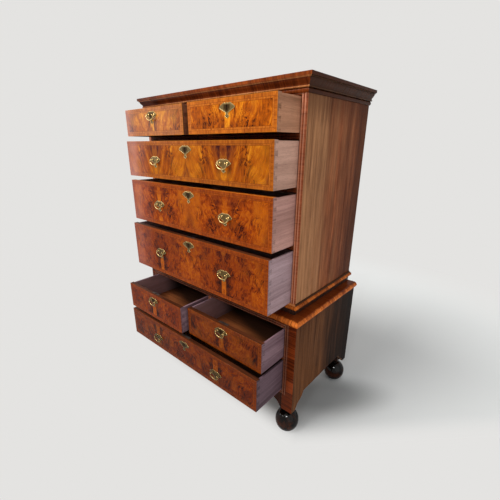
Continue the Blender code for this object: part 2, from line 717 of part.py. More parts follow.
def plate_outline():
    """Bat-wing plate with a waisted tail, as (x, z) about the middle of the post line."""
    right = [(0.0, 0.0180), (0.0035, 0.0150), (0.0075, 0.0150), (0.0110, 0.0168)]
    right += [(0.0180, 0.0160), (0.0250, 0.0120), (0.0300, 0.0100), (0.0350, 0.0062)]
    right += [(0.0410, 0.0010), (0.0345, -0.0022), (0.0290, -0.0060), (0.0230, -0.0072)]
    right += [(0.0190, -0.0120), (0.0130, -0.0145), (0.0080, -0.0185), (0.0060, -0.0225)]
    right += [(0.0095, -0.0270), (0.0110, -0.0300), (0.0060, -0.0330), (0.0, -0.0370)]
    left = [(-across, level) for across, level in reversed(right[1:-1])]
    return right + left


def plate_mesh():
    """The plate and its two drilled posts as one casting, made once and shared."""
    mesh = prism("bat_wing_plate", plate_outline(), "Y", -PLATE_THICKNESS, 0.0)
    plate = add_object("plate_pattern", mesh, None, None)
    back = -PLATE_THICKNESS + EMBED / 2
    axis = -PLATE_THICKNESS - POST_STANDOFF
    upright = Matrix.Rotation(math.radians(90), 4, "X")
    for side in (-1, 1):
        profile = [(POST_STEM_RADIUS * 1.4, -back), (POST_STEM_RADIUS, -back + 0.002)]
        profile.append((POST_STEM_RADIUS, -axis - POST_HEAD_RADIUS * 0.8))
        profile += arc_points((0.0, -axis), POST_HEAD_RADIUS, POST_HEAD_RADIUS, -30, 75, 4)
        profile[-1] = (profile[-1][0], -axis + POST_HEAD_RADIUS)
        post = turned("post", profile, 8)
        post.transform(Matrix.Translation((side * POST_SPACING / 2, 0.0, 0.0)) @ upright)
        combine(plate, post, "UNION")
        ends = (-2 * POST_HEAD_RADIUS, 2 * POST_HEAD_RADIUS)
        hole = turned("pin_hole", [(PIN_HOLE_RADIUS, end) for end in ends], 8)
        across = Matrix.Rotation(math.radians(90), 4, "Y")
        hole.transform(Matrix.Translation((side * POST_SPACING / 2, axis, 0.0)) @ across)
        combine(plate, hole, "DIFFERENCE")
    return baked_mesh(plate)


def baked_mesh(pattern):
    """Turn a pattern object and its modifiers into one plain mesh, and remove the helpers."""
    bpy.context.view_layer.update()
    graph = bpy.context.evaluated_depsgraph_get()
    mesh = bpy.data.meshes.new_from_object(pattern.evaluated_get(graph))
    for step in list(pattern.modifiers):
        bpy.data.objects.remove(step.object, do_unlink=True)
    bpy.data.objects.remove(pattern, do_unlink=True)
    return mesh


def bail_path():
    """Right half of the bail's centre line as (x, z, radius), from the pin's end down."""
    shoulder = POST_SPACING / 2 + POST_HEAD_RADIUS + PIN_SHOULDER_GAP
    outer = BAIL_WIDTH / 2 - BAIL_RADIUS
    corner = outer - shoulder
    path = [(POST_SPACING / 2 - PIN_REACH, 0.0, PIN_RADIUS), (shoulder, 0.0, PIN_RADIUS)]
    path.append((shoulder + 0.7 * corner, -0.3 * corner, BAIL_RADIUS))
    drop = BAIL_DROP - BAIL_MIDDLE_RADIUS - corner
    swell = BAIL_MIDDLE_RADIUS - BAIL_RADIUS
    for step in range(BAIL_STEPS):
        turn = math.pi / 2 * step / BAIL_STEPS
        radius = BAIL_RADIUS + swell * math.sin(turn) ** 2
        path.append((outer * math.cos(turn), -corner - drop * math.sin(turn), radius))
    return path


def bail_mesh():
    """Sweep a small round section along the bail, with its pins turned in at the top."""
    right = bail_path()
    left = [(-across, level, radius) for across, level, radius in reversed(right)]
    middle = (0.0, BAIL_MIDDLE_RADIUS - BAIL_DROP, BAIL_MIDDLE_RADIUS)
    path = right + [middle] + left
    shape = bmesh.new()
    rings = []
    for index, (across, level, radius) in enumerate(path):
        before = path[max(index - 1, 0)]
        after = path[min(index + 1, len(path) - 1)]
        along = Vector((after[0] - before[0], 0.0, after[1] - before[1])).normalized()
        outward = Vector((along.z, 0.0, -along.x))
        ring = []
        for step in range(BAIL_SIDES):
            turn = 2 * math.pi * (step + 0.5) / BAIL_SIDES
            offset = outward * math.cos(turn) * radius + Vector((0.0, math.sin(turn) * radius, 0.0))
            ring.append(shape.verts.new(Vector((across, 0.0, level)) + offset))
        rings.append(ring)
    for first, second in zip(rings, rings[1:]):
        for step in range(BAIL_SIDES):
            after = (step + 1) % BAIL_SIDES
            shape.faces.new((first[step], first[after], second[after], second[step]))
    shape.faces.new(rings[0])
    shape.faces.new(rings[-1])
    mesh = finish_mesh("bail", shape)
    mesh.shade_smooth()
    mesh.set_sharp_from_angle(angle=math.radians(60))
    return mesh


def drawer_specs():
    """Where each drawer stands in its case, and which handles it carries."""
    upper_half = UPPER_HALF - UPPER_STILE_WIDTH
    lower_half = LOWER_HALF - LOWER_STILE_WIDTH
    upper_inner = UPPER_DIVIDER_WIDTH / 2 + DRAWER_SIDE_CLEARANCE
    lower_inner = LOWER_DIVIDER_WIDTH / 2 + DRAWER_SIDE_CLEARANCE
    specs = []

    def add(name, plane, left, right, levels, handles):
        spec = {"name": name, "plane": plane, "left": left, "right": right}
        spec.update({"bottom": levels[0], "top": levels[1], "handles": handles})
        specs.append(spec)

    def pair(level):
        places = ((-LONG_HANDLE_REACH, "_left"), (LONG_HANDLE_REACH, "_right"))
        return [{"across": across, "level": level, "word": word} for across, word in places]

    def single(across, level):
        return [{"across": across, "level": level, "word": ""}]

    short = UPPER_LEVELS[-1]
    lock_level = short[1] - SHORT_LOCK_DROP
    middle = (upper_half + upper_inner) / 2
    add("top_left_drawer", 0.0, -upper_half, -upper_inner, short, single(-middle, lock_level))
    add("top_right_drawer", 0.0, upper_inner, upper_half, short, [])
    for number, levels in zip((3, 2, 1), UPPER_LEVELS):
        name = "upper_long_drawer_%d" % number
        add(name, 0.0, -upper_half, upper_half, levels, pair(sum(levels) / 2))

    short = (LOWER_SHORT_SILL, LOWER_SHORT_TOP)
    lock_level = short[1] - LOW_LOCK_DROP
    middle = (lower_half + lower_inner) / 2
    add("lower_left_drawer", LOWER_FRONT, -lower_half, -lower_inner, short, single(-middle, lock_level))
    add("lower_right_drawer", LOWER_FRONT, lower_inner, lower_half, short, single(middle, lock_level))
    levels = (LOWER_SILL, LOWER_LONG_TOP)
    level = sum(levels) / 2 - LOW_LONG_HANDLE_DROP
    add("bottom_drawer", LOWER_FRONT, -lower_half, lower_half, levels, pair(level))
    return specs


def build():
    clear_scene()
    walnut = make_material("walnut", (0.22, 0.09, 0.04), 0.35)
    burr = make_material("burr_walnut", (0.42, 0.16, 0.045), 0.25)
    crossband = make_material("crossbanded_walnut", (0.30, 0.11, 0.04), 0.30)
    oak = make_material("oak", (0.45, 0.33, 0.25), 0.65)
    pine = make_material("pine", (0.38, 0.25, 0.14), 0.75)
    ebonised = make_material("ebonised_wood", (0.02, 0.015, 0.012), 0.18)
    brass = make_material("brass", (0.68, 0.56, 0.32), 0.35, 1.0)

    root = add_empty("chest_origin", None, (0.0, CENTRE_SHIFT, 0.0))
    build_upper_case(root, walnut, crossband, pine)
    build_lower_case(root, walnut, crossband, pine)
    build_feet(root, ebonised)
    parts = {"plate": plate_mesh(), "bail": bail_mesh(), "brass": brass}
    for spec in drawer_specs():
        build_drawer(root, spec, burr, oak, parts)


build()
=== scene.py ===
"""Dresses a walnut chest-on-chest that stands with its drawers partly open.

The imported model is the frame. This file adds polished woods, fine mouldings, turned feet,
bat-wing brasses, locks and nails, and a pale studio with the camera. It is laid out as an
add-on, with one operator for each group of pieces, and is run as a script.
"""

import json
import math

import bmesh
import bpy
from bpy.props import FloatProperty, FloatVectorProperty, IntProperty, PointerProperty
from mathutils import Matrix, Vector
from mathutils.geometry import delaunay_2d_cdt


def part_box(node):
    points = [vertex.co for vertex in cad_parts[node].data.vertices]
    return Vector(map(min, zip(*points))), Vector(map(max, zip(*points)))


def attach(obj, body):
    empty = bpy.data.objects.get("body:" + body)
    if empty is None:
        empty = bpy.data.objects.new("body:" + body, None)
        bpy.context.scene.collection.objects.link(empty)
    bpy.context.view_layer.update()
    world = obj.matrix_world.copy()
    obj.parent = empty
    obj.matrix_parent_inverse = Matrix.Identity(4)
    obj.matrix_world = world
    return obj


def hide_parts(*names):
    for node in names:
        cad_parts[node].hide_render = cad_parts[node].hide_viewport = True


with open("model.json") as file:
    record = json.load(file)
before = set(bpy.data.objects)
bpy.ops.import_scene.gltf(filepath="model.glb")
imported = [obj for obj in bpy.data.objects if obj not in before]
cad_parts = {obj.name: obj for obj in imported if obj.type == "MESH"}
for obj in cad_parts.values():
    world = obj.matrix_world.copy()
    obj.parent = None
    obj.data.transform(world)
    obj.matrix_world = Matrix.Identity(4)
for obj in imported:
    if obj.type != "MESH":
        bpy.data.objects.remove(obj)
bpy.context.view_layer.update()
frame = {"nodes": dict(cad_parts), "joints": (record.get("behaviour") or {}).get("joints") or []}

bl_info = {
    "name": "Walnut Chest-on-Chest",
    "version": (1, 0, 0),
    "blender": (4, 5, 0),
    "location": "View3D > Sidebar > Chest",
    "description": "Dresses a chest-on-chest in figured walnut, oak, pine and brass",
    "category": "Object",
}

NODES = frame["nodes"]
HINGES = {joint["name"]: Vector(joint["pos_m"]) for joint in frame["joints"] if joint.get("pos_m")}
CASE = "case"

# Sizes that the visual pieces share with the solids
BEAD_WIDTH = 0.0112
BEAD_HEIGHT = 0.004
TOP_BEAD_WIDTH = 0.006
FIT_GAP = 0.0003
BACK_THICKNESS = 0.012
BACK_BOARD_COUNT = 5
RAIL_DEPTH = 0.070
DUSTBOARD_THICKNESS = 0.012
PLINTH_STRIP_DEPTH = 0.020
CORNICE_OVERHANG = 0.029
CORNICE_FRAME_WIDTH = 0.022
BASE_MOULDING_OVERHANG = 0.016
WAIST_OVERHANG = 0.014
WAIST_THICKNESS = 0.026
WAIST_FRAME_WIDTH = 0.075
STILE_DEPTH = 0.022
PANEL_THICKNESS = 0.020
REBATE_WIDTH = 0.006
LEG_WIDTH = 0.062
SIDE_LEG_WIDTH = 0.034
BRACKET_FLARE = 0.068
BRACKET_WAVE = 0.09
LEG_BLOCK_WIDTH = 0.068
LEG_BLOCK_DEPTH = 0.050
GUIDE_HEIGHT = 0.022
PLATE_THICKNESS = 0.0016
PLATE_RISE = 0.0180
POST_SPACING = 0.041
POST_HEAD_RADIUS = 0.0042
PIN_HOLE_RADIUS = 0.0019
PIN_RADIUS = 0.0014
PIN_REACH = 0.0040
BAIL_REACH = 0.0280
BAIL_SHOULDER = 0.0253
BAIL_DROP = 0.0221
BAIL_RADIUS = 0.0020
BAIL_MIDDLE_RADIUS = 0.0029
LONG_HANDLE_REACH = 0.231
DRAWER_SIDE_THICKNESS = 0.010
DRAWER_BOTTOM_TOP = 0.010

# Finer sizes that only the visual pieces have
BEAD_GIRTH = 0.0153
CORNER_EASE = 0.0012
OVERLAP = 0.001
BAIL_CORNER = 0.0027

# How far a place may lie from a plane and still count as part of it, strictly and loosely
SAME_PLACE = 0.00005
NEAR_PLACE = 0.0005

# Planes and levels of the cases, from the boxes of their own nodes
UPPER_LOW, UPPER_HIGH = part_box("upper_side_right")
LOWER_LOW, LOWER_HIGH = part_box("lower_side_right")
UPPER_INNER = UPPER_LOW.x
UPPER_HALF = UPPER_HIGH.x
LOWER_HALF = LOWER_HIGH.x
CASE_BACK = UPPER_HIGH.y
BACK_INNER = CASE_BACK - BACK_THICKNESS
UPPER_FRONT = UPPER_LOW.y + BEAD_HEIGHT
LOWER_FRONT = LOWER_LOW.y + BEAD_HEIGHT
MOULDING_FOOT, UPPER_SILL = (corner.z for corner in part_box("upper_base_moulding"))
CORNICE_FOOT, CORNICE_TOP = (corner.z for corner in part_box("cornice"))
TOP_RAIL_FOOT, WAIST_TOP = (corner.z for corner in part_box("lower_top_board"))
TOP_BOARD_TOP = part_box("upper_top_board")[1].z
LEG_FOOT = LOWER_LOW.z
SIDE_TOP = LOWER_HIGH.z
WAIST_FOOT = WAIST_TOP - WAIST_THICKNESS
LOWER_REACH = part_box("lower_rail")[1].x
LOWER_INNER = LOWER_REACH + FIT_GAP
LOWER_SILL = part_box("bottom_drawer_front")[0].z
SHORT_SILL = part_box("lower_left_drawer_front")[0].z
APRON_LEVEL = LOWER_SILL - 0.040

LOWER_DRAWERS = ("lower_left_drawer", "lower_right_drawer", "bottom_drawer")
DULL_EDGED = (*LOWER_DRAWERS, "upper_long_drawer_3")
KEYED_DRAWERS = ("top_left_drawer", "lower_left_drawer", "lower_right_drawer")

# Each drawer front: seed of its figure, share of burr, a tint that is partly its veneer and partly
# painted shade darkening the lower drawers, share of painted reflection at its left end, and the
# pale and dark oak of its lining, darker on the lower drawers and the top left one partly as
# painted shade
FRONTS = {
    "top_left_drawer": (0.10, 0.45, (0.84, 0.92, 1.3), 0.40, (152, 94, 64), (96, 58, 38)),
    "top_right_drawer": (0.17, 0.55, (0.96, 0.92, 0.80), 0.0, (192, 138, 106), (124, 82, 58)),
    "upper_long_drawer_1": (0.31, 0.30, (0.72, 0.68, 0.55), 0.42, (206, 162, 142), (148, 110, 94)),
    "upper_long_drawer_2": (0.42, 0.75, (0.56, 0.38, 0.26), 0.22, (200, 152, 140), (140, 100, 90)),
    "upper_long_drawer_3": (0.53, 0.65, (0.47, 0.31, 0.22), 0.16, (180, 152, 156), (124, 98, 102)),
    "lower_left_drawer": (0.66, 0.55, (0.36, 0.21, 0.15), 0.0, (152, 122, 130), (84, 60, 68)),
    "lower_right_drawer": (0.75, 0.60, (0.29, 0.20, 0.14), 0.0, (152, 122, 130), (84, 60, 68)),
    "bottom_drawer": (0.88, 0.70, (0.27, 0.17, 0.12), 0.0, (112, 88, 98), (66, 48, 54)),
}

# Lock plates without a bail: drawer, place across, and drop of the post line below the top edge
LOCK_PLATES = (
    ("top_right_drawer", 0.2455, 0.033),
    ("upper_long_drawer_1", 0.0, 0.036),
    ("upper_long_drawer_2", 0.0, 0.036),
    ("upper_long_drawer_3", 0.0, 0.036),
    ("bottom_drawer", 0.0, 0.040),
)
# The brass, and the painted black shade at the bottom of the keyholes.
BRASS = ("old_brass", "keyhole_dark")

BLACK = (0.0, 0.0, 0.0)
WHITE = (1.0, 1.0, 1.0)
SEAM_DARK = (0.012, 0.005, 0.003)
# The tone of the painted shade far inside the lower drawers.
PAINTED_INSIDE_SHADE = (0.006, 0.003, 0.002)
HALVES = (0.5, 0.5, 0.5)


def tone(red, green, blue):
    """A colour written as it looks on a screen, from 0 to 255, as Blender's linear values."""
    def linear(value):
        share = value / 255
        if share <= 0.04045:
            return share / 12.92
        return ((share + 0.055) / 1.055) ** 2.4

    return (linear(red), linear(green), linear(blue))


def tones(light, dark):
    return (tone(*light), tone(*dark))


COLOURS = {
    "veneer_light": ((236, 148, 30), "Palest figure of the drawer fronts"),
    "veneer_middle": ((182, 88, 10), "Main tone of the drawer fronts"),
    "veneer_dark": ((60, 20, 4), "Darkest figure of the drawer fronts"),
    "side_light": ((188, 134, 92), "Pale grain at the front of the sides"),
    "side_dark": ((118, 78, 52), "Dark grain at the front of the sides"),
    "side_red_light": ((162, 94, 58), "Pale grain at the back of the sides"),
    "side_red_dark": ((88, 44, 25), "Dark grain at the back of the sides"),
    "band_light": ((218, 124, 38), "Pale grain of the crossbanding"),
    "band_dark": ((130, 56, 14), "Dark grain of the crossbanding"),
    "bead_light": ((182, 100, 62), "Pale grain of the upper beads"),
    "bead_dark": ((128, 60, 34), "Dark grain of the upper beads"),
    "moulding_light": ((184, 88, 38), "Pale grain of the cornice"),
    "moulding_dark": ((70, 24, 8), "Dark grain of the cornice"),
    "pine_light": ((172, 124, 78), "Pale grain of the back boards"),
    "pine_dark": ((104, 64, 38), "Dark grain of the back boards"),
    "ebony_light": ((54, 25, 12), "Worn tone of the ball feet"),
    "ebony_dark": ((10, 6, 5), "Main tone of the ball feet"),
    "brass_light": ((218, 186, 122), "Rubbed brass"),
    "brass_dark": ((60, 42, 20), "Tarnished brass"),
    "iron": ((84, 76, 72), "Locks, nails and nuts"),
}
LENGTHS = {
    "edge_round": (0.0009, "How far the edges of the drawer fronts are eased"),
    "crossband_width": (0.0125, "Width of the crossbanding round a drawer front"),
    "feather_width": (0.0070, "Width of the feather band inside the crossbanding"),
    "nail_head": (0.0032, "Radius of the nails in the back boards"),
    "nut_radius": (0.0048, "Half the size of the nuts behind the handles"),
    "piece_length": (0.066, "Length of the short pieces of veneer on the mouldings"),
}
COUNTS = {
    "bead_steps": (14, "Steps in each half-round bead"),
    "moulding_steps": (16, "Steps in each curve of the mouldings"),
    "foot_segments": (72, "Sides of a turned foot"),
}
STUDIO_VALUES = {
    "lens": (22.96, "Focal length in millimetres"),
    "key_light": (2.8, "Strength of the main light"),
    "fill_light": (0.42, "Strength of the second light"),
    "glint_light": (0.16, "Strength of the small sparkling light"),
    "sheen_light": (13.0, "Strength of the panel seen in the polish of the fronts"),
    "spark_light": (32.0, "Strength of the panel seen in the feet"),
    "sky_light": (0.58, "Strength of the light from all round"),
}


def settings_from(table, kind, **settings):
    """One Blender property for each row of a table, named after its key."""
    made = {}
    for key, (default, text) in table.items():
        title = key.replace("_", " ").capitalize()
        made[key] = kind(name=title, description=text, default=default, **settings)
    return made


def colour_settings(table):
    shown = {"subtype": "COLOR", "size": 3, "min": 0.0, "max": 1.0}
    return settings_from(table, FloatVectorProperty, **shown)


class ChestColours(bpy.types.PropertyGroup):
    """Colours of the woods and metals."""

    __annotations__ = colour_settings(
        {key: (tone(*shown), text) for key, (shown, text) in COLOURS.items()}
    )


class ChestSizes(bpy.types.PropertyGroup):
    """Sizes of the finer details."""

    __annotations__ = {
        **settings_from(LENGTHS, FloatProperty, unit="LENGTH"),
        **settings_from(COUNTS, IntProperty),
    }


class StudioSettings(bpy.types.PropertyGroup):
    """Camera and light of the studio."""

    __annotations__ = {
        **settings_from(STUDIO_VALUES, FloatProperty),
        **colour_settings({
            "backdrop": (tone(228, 227, 225), "Colour of the backdrop"),
            "floor": ((0.622, 0.637, 0.635), "Colour of the floor"),
        }),
    }


class Field:
    """A node's output, on which plain arithmetic adds math nodes to the tree."""

    def __init__(self, nodes, socket):
        self.nodes = nodes
        self.socket = socket

    def join(self, operation, first, second=0.0):
        kind = "ShaderNodeMath" if self.socket.type == "VALUE" else "ShaderNodeVectorMath"
        return self.nodes.make(kind, {0: first, 1: second}, operation=operation)

    def __add__(self, other):
        return self.join("ADD", self, other)

    def __sub__(self, other):
        return self.join("SUBTRACT", self, other)

    def __rsub__(self, other):
        return self.join("SUBTRACT", other, self)

    def __mul__(self, other):
        return self.join("MULTIPLY", self, other)

    def __truediv__(self, other):
        return self.join("DIVIDE", self, other)

    def __lt__(self, other):
        return self.join("LESS_THAN", self, other)

    def __gt__(self, other):
        return self.join("GREATER_THAN", self, other)

    def __abs__(self):
        return self.join("ABSOLUTE", self)


# The two inputs and the output that a Mix node uses for each kind of data
MIX_SOCKETS = {"FLOAT": (2, 3, 0), "VECTOR": (4, 5, 1), "RGBA": (6, 7, 2)}


class Nodes:
    """Adds nodes to one tree, in plain steps."""

    def __init__(self, tree):
        self.tree = tree

    def feed(self, socket, value):
        if isinstance(value, Field):
            self.tree.links.new(value.socket, socket)
        elif socket.type == "RGBA":
            socket.default_value = (*value, 1.0)
        else:
            socket.default_value = value

    def fill(self, node, inputs):
        for name, value in inputs.items():
            self.feed(node.inputs[name], value)

    def add(self, kind, inputs=None, **settings):
        node = self.tree.nodes.new(kind)
        for name, value in settings.items():
            setattr(node, name, value)
        self.fill(node, inputs or {})
        return node

    def make(self, kind, inputs=None, output=0, **settings):
        """Add a node and hand back one of its outputs."""
        return Field(self, self.add(kind, inputs, **settings).outputs[output])

    def outputs(self, node):
        return {socket.name: Field(self, socket) for socket in node.outputs}

    def math(self, operation, first, second=0.0):
        return self.make("ShaderNodeMath", {0: first, 1: second}, operation=operation)

    def most(self, first, *others):
        for other in others:
            first = self.math("MAXIMUM", first, other)
        return first

    def combine(self, x, y, z):
        return self.make("ShaderNodeCombineXYZ", {"X": x, "Y": y, "Z": z})

    def separate(self, vector):
        return self.outputs(self.add("ShaderNodeSeparateXYZ", {"Vector": vector})).values()

    def object_place(self, centre=(0.0, 0.0, 0.0)):
        """The object's own coordinates, measured from a point on the piece."""
        place = self.make("ShaderNodeTexCoord", output="Object")
        shift = tuple(-value for value in centre)
        return self.make("ShaderNodeMapping", {"Vector": place, "Location": shift})

    def noise(self, vector, scale, detail=2.0, rough=0.5, twist=0.0, output="Fac"):
        inputs = {"Vector": vector, "Scale": scale, "Detail": detail, "Roughness": rough}
        inputs["Distortion"] = twist
        return self.make("ShaderNodeTexNoise", inputs, output)

    def drift(self, vector, scale, detail=2.0):
        """A slow wandering in all three directions, about nothing."""
        return self.noise(vector, scale, detail, output="Color") - HALVES

    def chance(self, number):
        """A random value for each whole number."""
        return self.make("ShaderNodeTexWhiteNoise", {"W": number}, "Value", noise_dimensions="1D")

    def remap(self, value, low, high, to_low=0.0, to_high=1.0, smooth=False):
        inputs = {"Value": value, "From Min": low, "From Max": high}
        inputs.update({"To Min": to_low, "To Max": to_high})
        kind = "SMOOTHSTEP" if smooth else "LINEAR"
        return self.make("ShaderNodeMapRange", inputs, interpolation_type=kind)

    def ease(self, value, low, high, to_low=0.0, to_high=1.0):
        return self.remap(value, low, high, to_low, to_high, smooth=True)

    def mix(self, factor, first, second, data="RGBA", blend="MIX"):
        start, end, output = MIX_SOCKETS[data]
        inputs = {0: factor, start: first, end: second}
        node = self.add("ShaderNodeMix", data_type=data, blend_type=blend)
        self.fill(node, inputs)
        return Field(self, node.outputs[output])

    def glaze(self, colour, *coats):
        """Lay tones over a colour one after another, each by its own share."""
        for share, tint_and_shade in coats:
            colour = self.mix(share, colour, tint_and_shade)
        return colour

    def darker(self, colour, share):
        return self.mix(share, colour, BLACK)

    def bump(self, height, distance, strength):
        return self.make("ShaderNodeBump", {"Height": height, "Distance": distance, "Strength": strength})

    def group(self, name, inputs):
        return self.outputs(self.add("ShaderNodeGroup", inputs, node_tree=bpy.data.node_groups[name]))

    def blend_relief(self, share, first, second):
        """Tone and height of two woods that meet in one surface."""
        return {key: self.mix(share, first[key], second[key], "FLOAT") for key in ("Tone", "Height")}

    def grain(self, vector, pair, **settings):
        """Plain sawn wood in a pale and a dark tone."""
        given = {"Vector": vector, "Light": pair[0], "Dark": pair[1], **settings}
        return self.group("Straight Grain", given)


WOOD_OUTPUTS = {"Color": "Color", "Tone": "Float", "Height": "Float"}


def new_group(name, inputs, outputs):
    """Start a node group. An input's kind follows from its default, where None is a vector."""
    tree = bpy.data.node_groups.new(name, "ShaderNodeTree")
    for label, default in inputs.items():
        kind = "Color" if isinstance(default, tuple) else "Vector" if default is None else "Float"
        socket = tree.interface.new_socket(label, in_out="INPUT", socket_type="NodeSocket" + kind)
        if default is not None:
            socket.default_value = (*default, 1.0) if kind == "Color" else default
    for label, kind in outputs.items():
        tree.interface.new_socket(label, in_out="OUTPUT", socket_type="NodeSocket" + kind)
    nodes = Nodes(tree)
    return nodes, nodes.outputs(nodes.add("NodeGroupInput")), nodes.add("NodeGroupOutput")


def straight_grain_group():
    """Plain sawn wood whose grain runs along Z of the vector it is given."""
    inputs = {"Vector": None, "Light": tone(180, 120, 80), "Dark": tone(90, 50, 30)}
    inputs.update({"Bands": 55.0, "Contrast": 1.0, "Pores": 0.5, "Seed": 0.0})
    nodes, given, result = new_group("Straight Grain", inputs, WOOD_OUTPUTS)
    offset = given["Seed"] * 3.17
    place = given["Vector"] + nodes.combine(offset, offset, offset)
    slow = place * (1.0, 1.0, 0.35)
    swayed = place + nodes.drift(slow, 3.5) * (0.06, 0.06, 0.0)
    rings = nodes.noise(swayed * (1.0, 1.0, 0.035), given["Bands"], 5.0, 0.62)
    fibre = nodes.noise(swayed * (1.0, 1.0, 0.02), 650.0)
    pores = nodes.remap(nodes.noise(swayed * (1.0, 1.0, 0.045), 1150.0, 1.0), 0.60, 0.72)
    value = rings * 0.80 + fibre * 0.22 + nodes.noise(slow, 2.6) * 0.42
    value = nodes.remap((value - 0.72) * given["Contrast"], -0.17, 0.17)
    shade = pores * given["Pores"]
    colour = nodes.mix(value, given["Dark"], given["Light"])
    colour = nodes.mix(shade, colour, nodes.darker(given["Light"], 0.72))
    nodes.fill(result, {"Color": colour, "Tone": value, "Height": fibre * 0.5 - shade * 1.4})


def figured_veneer_group():
    """Burr walnut leaves whose flame lines spread upwards from a match line at x = 0."""
    inputs = {"Vector": None, "Light": tone(232, 150, 52), "Middle": tone(196, 104, 34)}
    inputs.update({"Dark": tone(92, 38, 14), "Burr": 0.5, "Painted Streak": 1.0, "Seed": 0.0})
    nodes, given, result = new_group("Figured Veneer", inputs, WOOD_OUTPUTS)
    burr = given["Burr"]
    seed = given["Seed"]
    x, unused, z = nodes.separate(given["Vector"])
    leaf = nodes.combine(x, seed, z)
    warped = leaf + nodes.drift(leaf, 6.5) * (0.085, 0.0, 0.085)
    reach = burr * 0.042
    curled = warped + nodes.drift(warped, 26.0, 3.0) * nodes.combine(reach, 0.0, reach)
    u, unused, w = nodes.separate(curled)
    spread = u - w * 0.36
    flame_space = nodes.combine(spread, seed, w * 0.16)
    flame = nodes.noise(flame_space, 46.0, 4.0, 0.6)
    lines = nodes.noise(flame_space, 190.0)
    swirl = nodes.noise(curled, 30.0, 5.0, 0.62, 1.6)
    value = nodes.mix(burr, flame, swirl, "FLOAT") * 1.10 + nodes.noise(warped, 8.0) * 0.70
    value = nodes.remap(value + lines * 0.42, 0.83, 1.40)
    vein = nodes.noise(nodes.combine(spread, seed, w * 0.30), 62.0, 3.0, 0.55, 0.8)
    vein = nodes.ease(abs(vein - 0.5), 0.006, 0.038, 1.0, 0.0)
    where = nodes.remap(nodes.noise(warped, 13.0, 1.0), 0.42, 0.60)
    cells = {"Vector": curled, "Scale": 62.0, "Randomness": 1.0}
    cells = nodes.outputs(nodes.add("ShaderNodeTexVoronoi", cells))
    ring = nodes.math("SINE", cells["Distance"] * 22.0)
    chosen = nodes.remap(cells["Color"], 0.55, 0.70)
    near = nodes.remap(cells["Distance"], 0.05, 0.42, 1.0, 0.0)
    value = value - vein * where * 0.55 - ring * near * chosen * burr * 0.40
    # A pale streak with darker flanks along the match line is a painted reflection.
    side = abs(x * 0.75 + u * 0.25)
    fade = nodes.remap(nodes.noise(leaf, 14.0, 1.0), 0.36, 0.60)
    pale = nodes.ease(side, 0.011, 0.019, 1.0, 0.0) * fade * given["Painted Streak"]
    dusk = nodes.ease(side, 0.016, 0.056, 1.0, 0.0) * fade * given["Painted Streak"]
    value = value - dusk * 0.36 + pale
    colour = nodes.mix(nodes.remap(value, 0.0, 0.5), given["Dark"], given["Middle"])
    colour = nodes.mix(nodes.remap(value, 0.5, 1.0), colour, given["Light"])
    fleck = nodes.remap(nodes.noise(curled * (1.0, 1.0, 0.12), 900.0, 1.0), 0.60, 0.74)
    colour = nodes.mix(fleck * 0.40, colour, given["Dark"])
    nodes.fill(result, {"Color": colour, "Tone": value, "Height": lines * 0.6 - fleck * 0.8})


def banding_group():
    """Where a drawer front's crossband, feather band and lines lie, and how their grain runs."""
    inputs = {"X": 0.0, "Z": 0.0, "Half Width": 0.4, "Half Height": 0.1}
    inputs.update({"Crossband": 0.0125, "Feather": 0.0070})
    outputs = dict.fromkeys(("Crossband", "Feather", "Line", "Piece", "Rim"), "Float")
    outputs["Grain"] = "Vector"
    nodes, given, result = new_group("Front Banding", inputs, outputs)
    from_side = given["Half Width"] - abs(given["X"])
    from_edge = given["Half Height"] - abs(given["Z"])
    depth = nodes.math("MINIMUM", from_side, from_edge)
    at_side = from_side < from_edge
    along = nodes.mix(at_side, given["X"], given["Z"], "FLOAT")
    outer = given["Crossband"]
    inner = outer + given["Feather"]
    in_inner = depth < inner
    feather = in_inner * (depth > outer)
    line_half = 0.0008
    piece_length = 0.083

    def line_at(edge):
        return nodes.remap(abs(depth - edge), line_half * 0.4, line_half, 1.0, 0.0)

    mitre = nodes.remap(abs(from_side - from_edge), 0.0001, 0.0006, 0.8, 0.0) * in_inner
    fold = abs(depth - (given["Feather"] * 0.5 + outer))
    straight = nodes.combine(along, 0.37, depth)
    feathered = nodes.combine(along + fold, 0.61, along - fold)
    nodes.fill(result, {
        "Crossband": depth < outer,
        "Feather": feather,
        "Line": nodes.most(line_at(outer), line_at(inner), mitre),
        "Grain": nodes.mix(feather, straight, feathered, "VECTOR"),
        "Piece": at_side * 17.0 + nodes.math("FLOOR", along / piece_length),
        # Rim marks a thin line along the edges of the front, used for a painted highlight.
        "Rim": nodes.ease(depth, 0.0, 0.0022, 1.0, 0.0),
    })


def handling_group():
    """Old polish: slow patches of sheen, fine scratches and patches of dirt."""
    inputs = {"Vector": None, "Gloss": 0.35, "Patchiness": 0.12, "Tone": 0.5}
    outputs = dict.fromkeys(("Roughness", "Scratches", "Grime"), "Float")
    nodes, given, result = new_group("Old Polish", inputs, outputs)
    place = given["Vector"]
    smear = nodes.noise(place, 7.0, 4.0, 0.6)
    rough = (smear - 0.5) * given["Patchiness"] + given["Gloss"] - given["Tone"] * 0.05
    scratches = nodes.noise(place * (1.0, 1.0, 0.06), 420.0, 1.0, 0.5, 0.4)
    scratches = nodes.remap(scratches, 0.70, 0.80)
    grime = nodes.ease(nodes.noise(place, 19.0, 5.0, 0.65), 0.50, 0.78)
    rough = scratches * 0.12 + rough
    nodes.fill(result, {"Roughness": rough, "Scratches": scratches, "Grime": grime})


def start_material(name):
    material = bpy.data.materials.new(name)
    material.use_nodes = True
    return Nodes(material.node_tree), material.node_tree.nodes["Principled BSDF"]


def pair_of(wood):
    """The pale and the dark tone of a wood in the sidebar."""
    colours = bpy.context.scene.chest_colours
    return getattr(colours, wood + "_light"), getattr(colours, wood + "_dark")


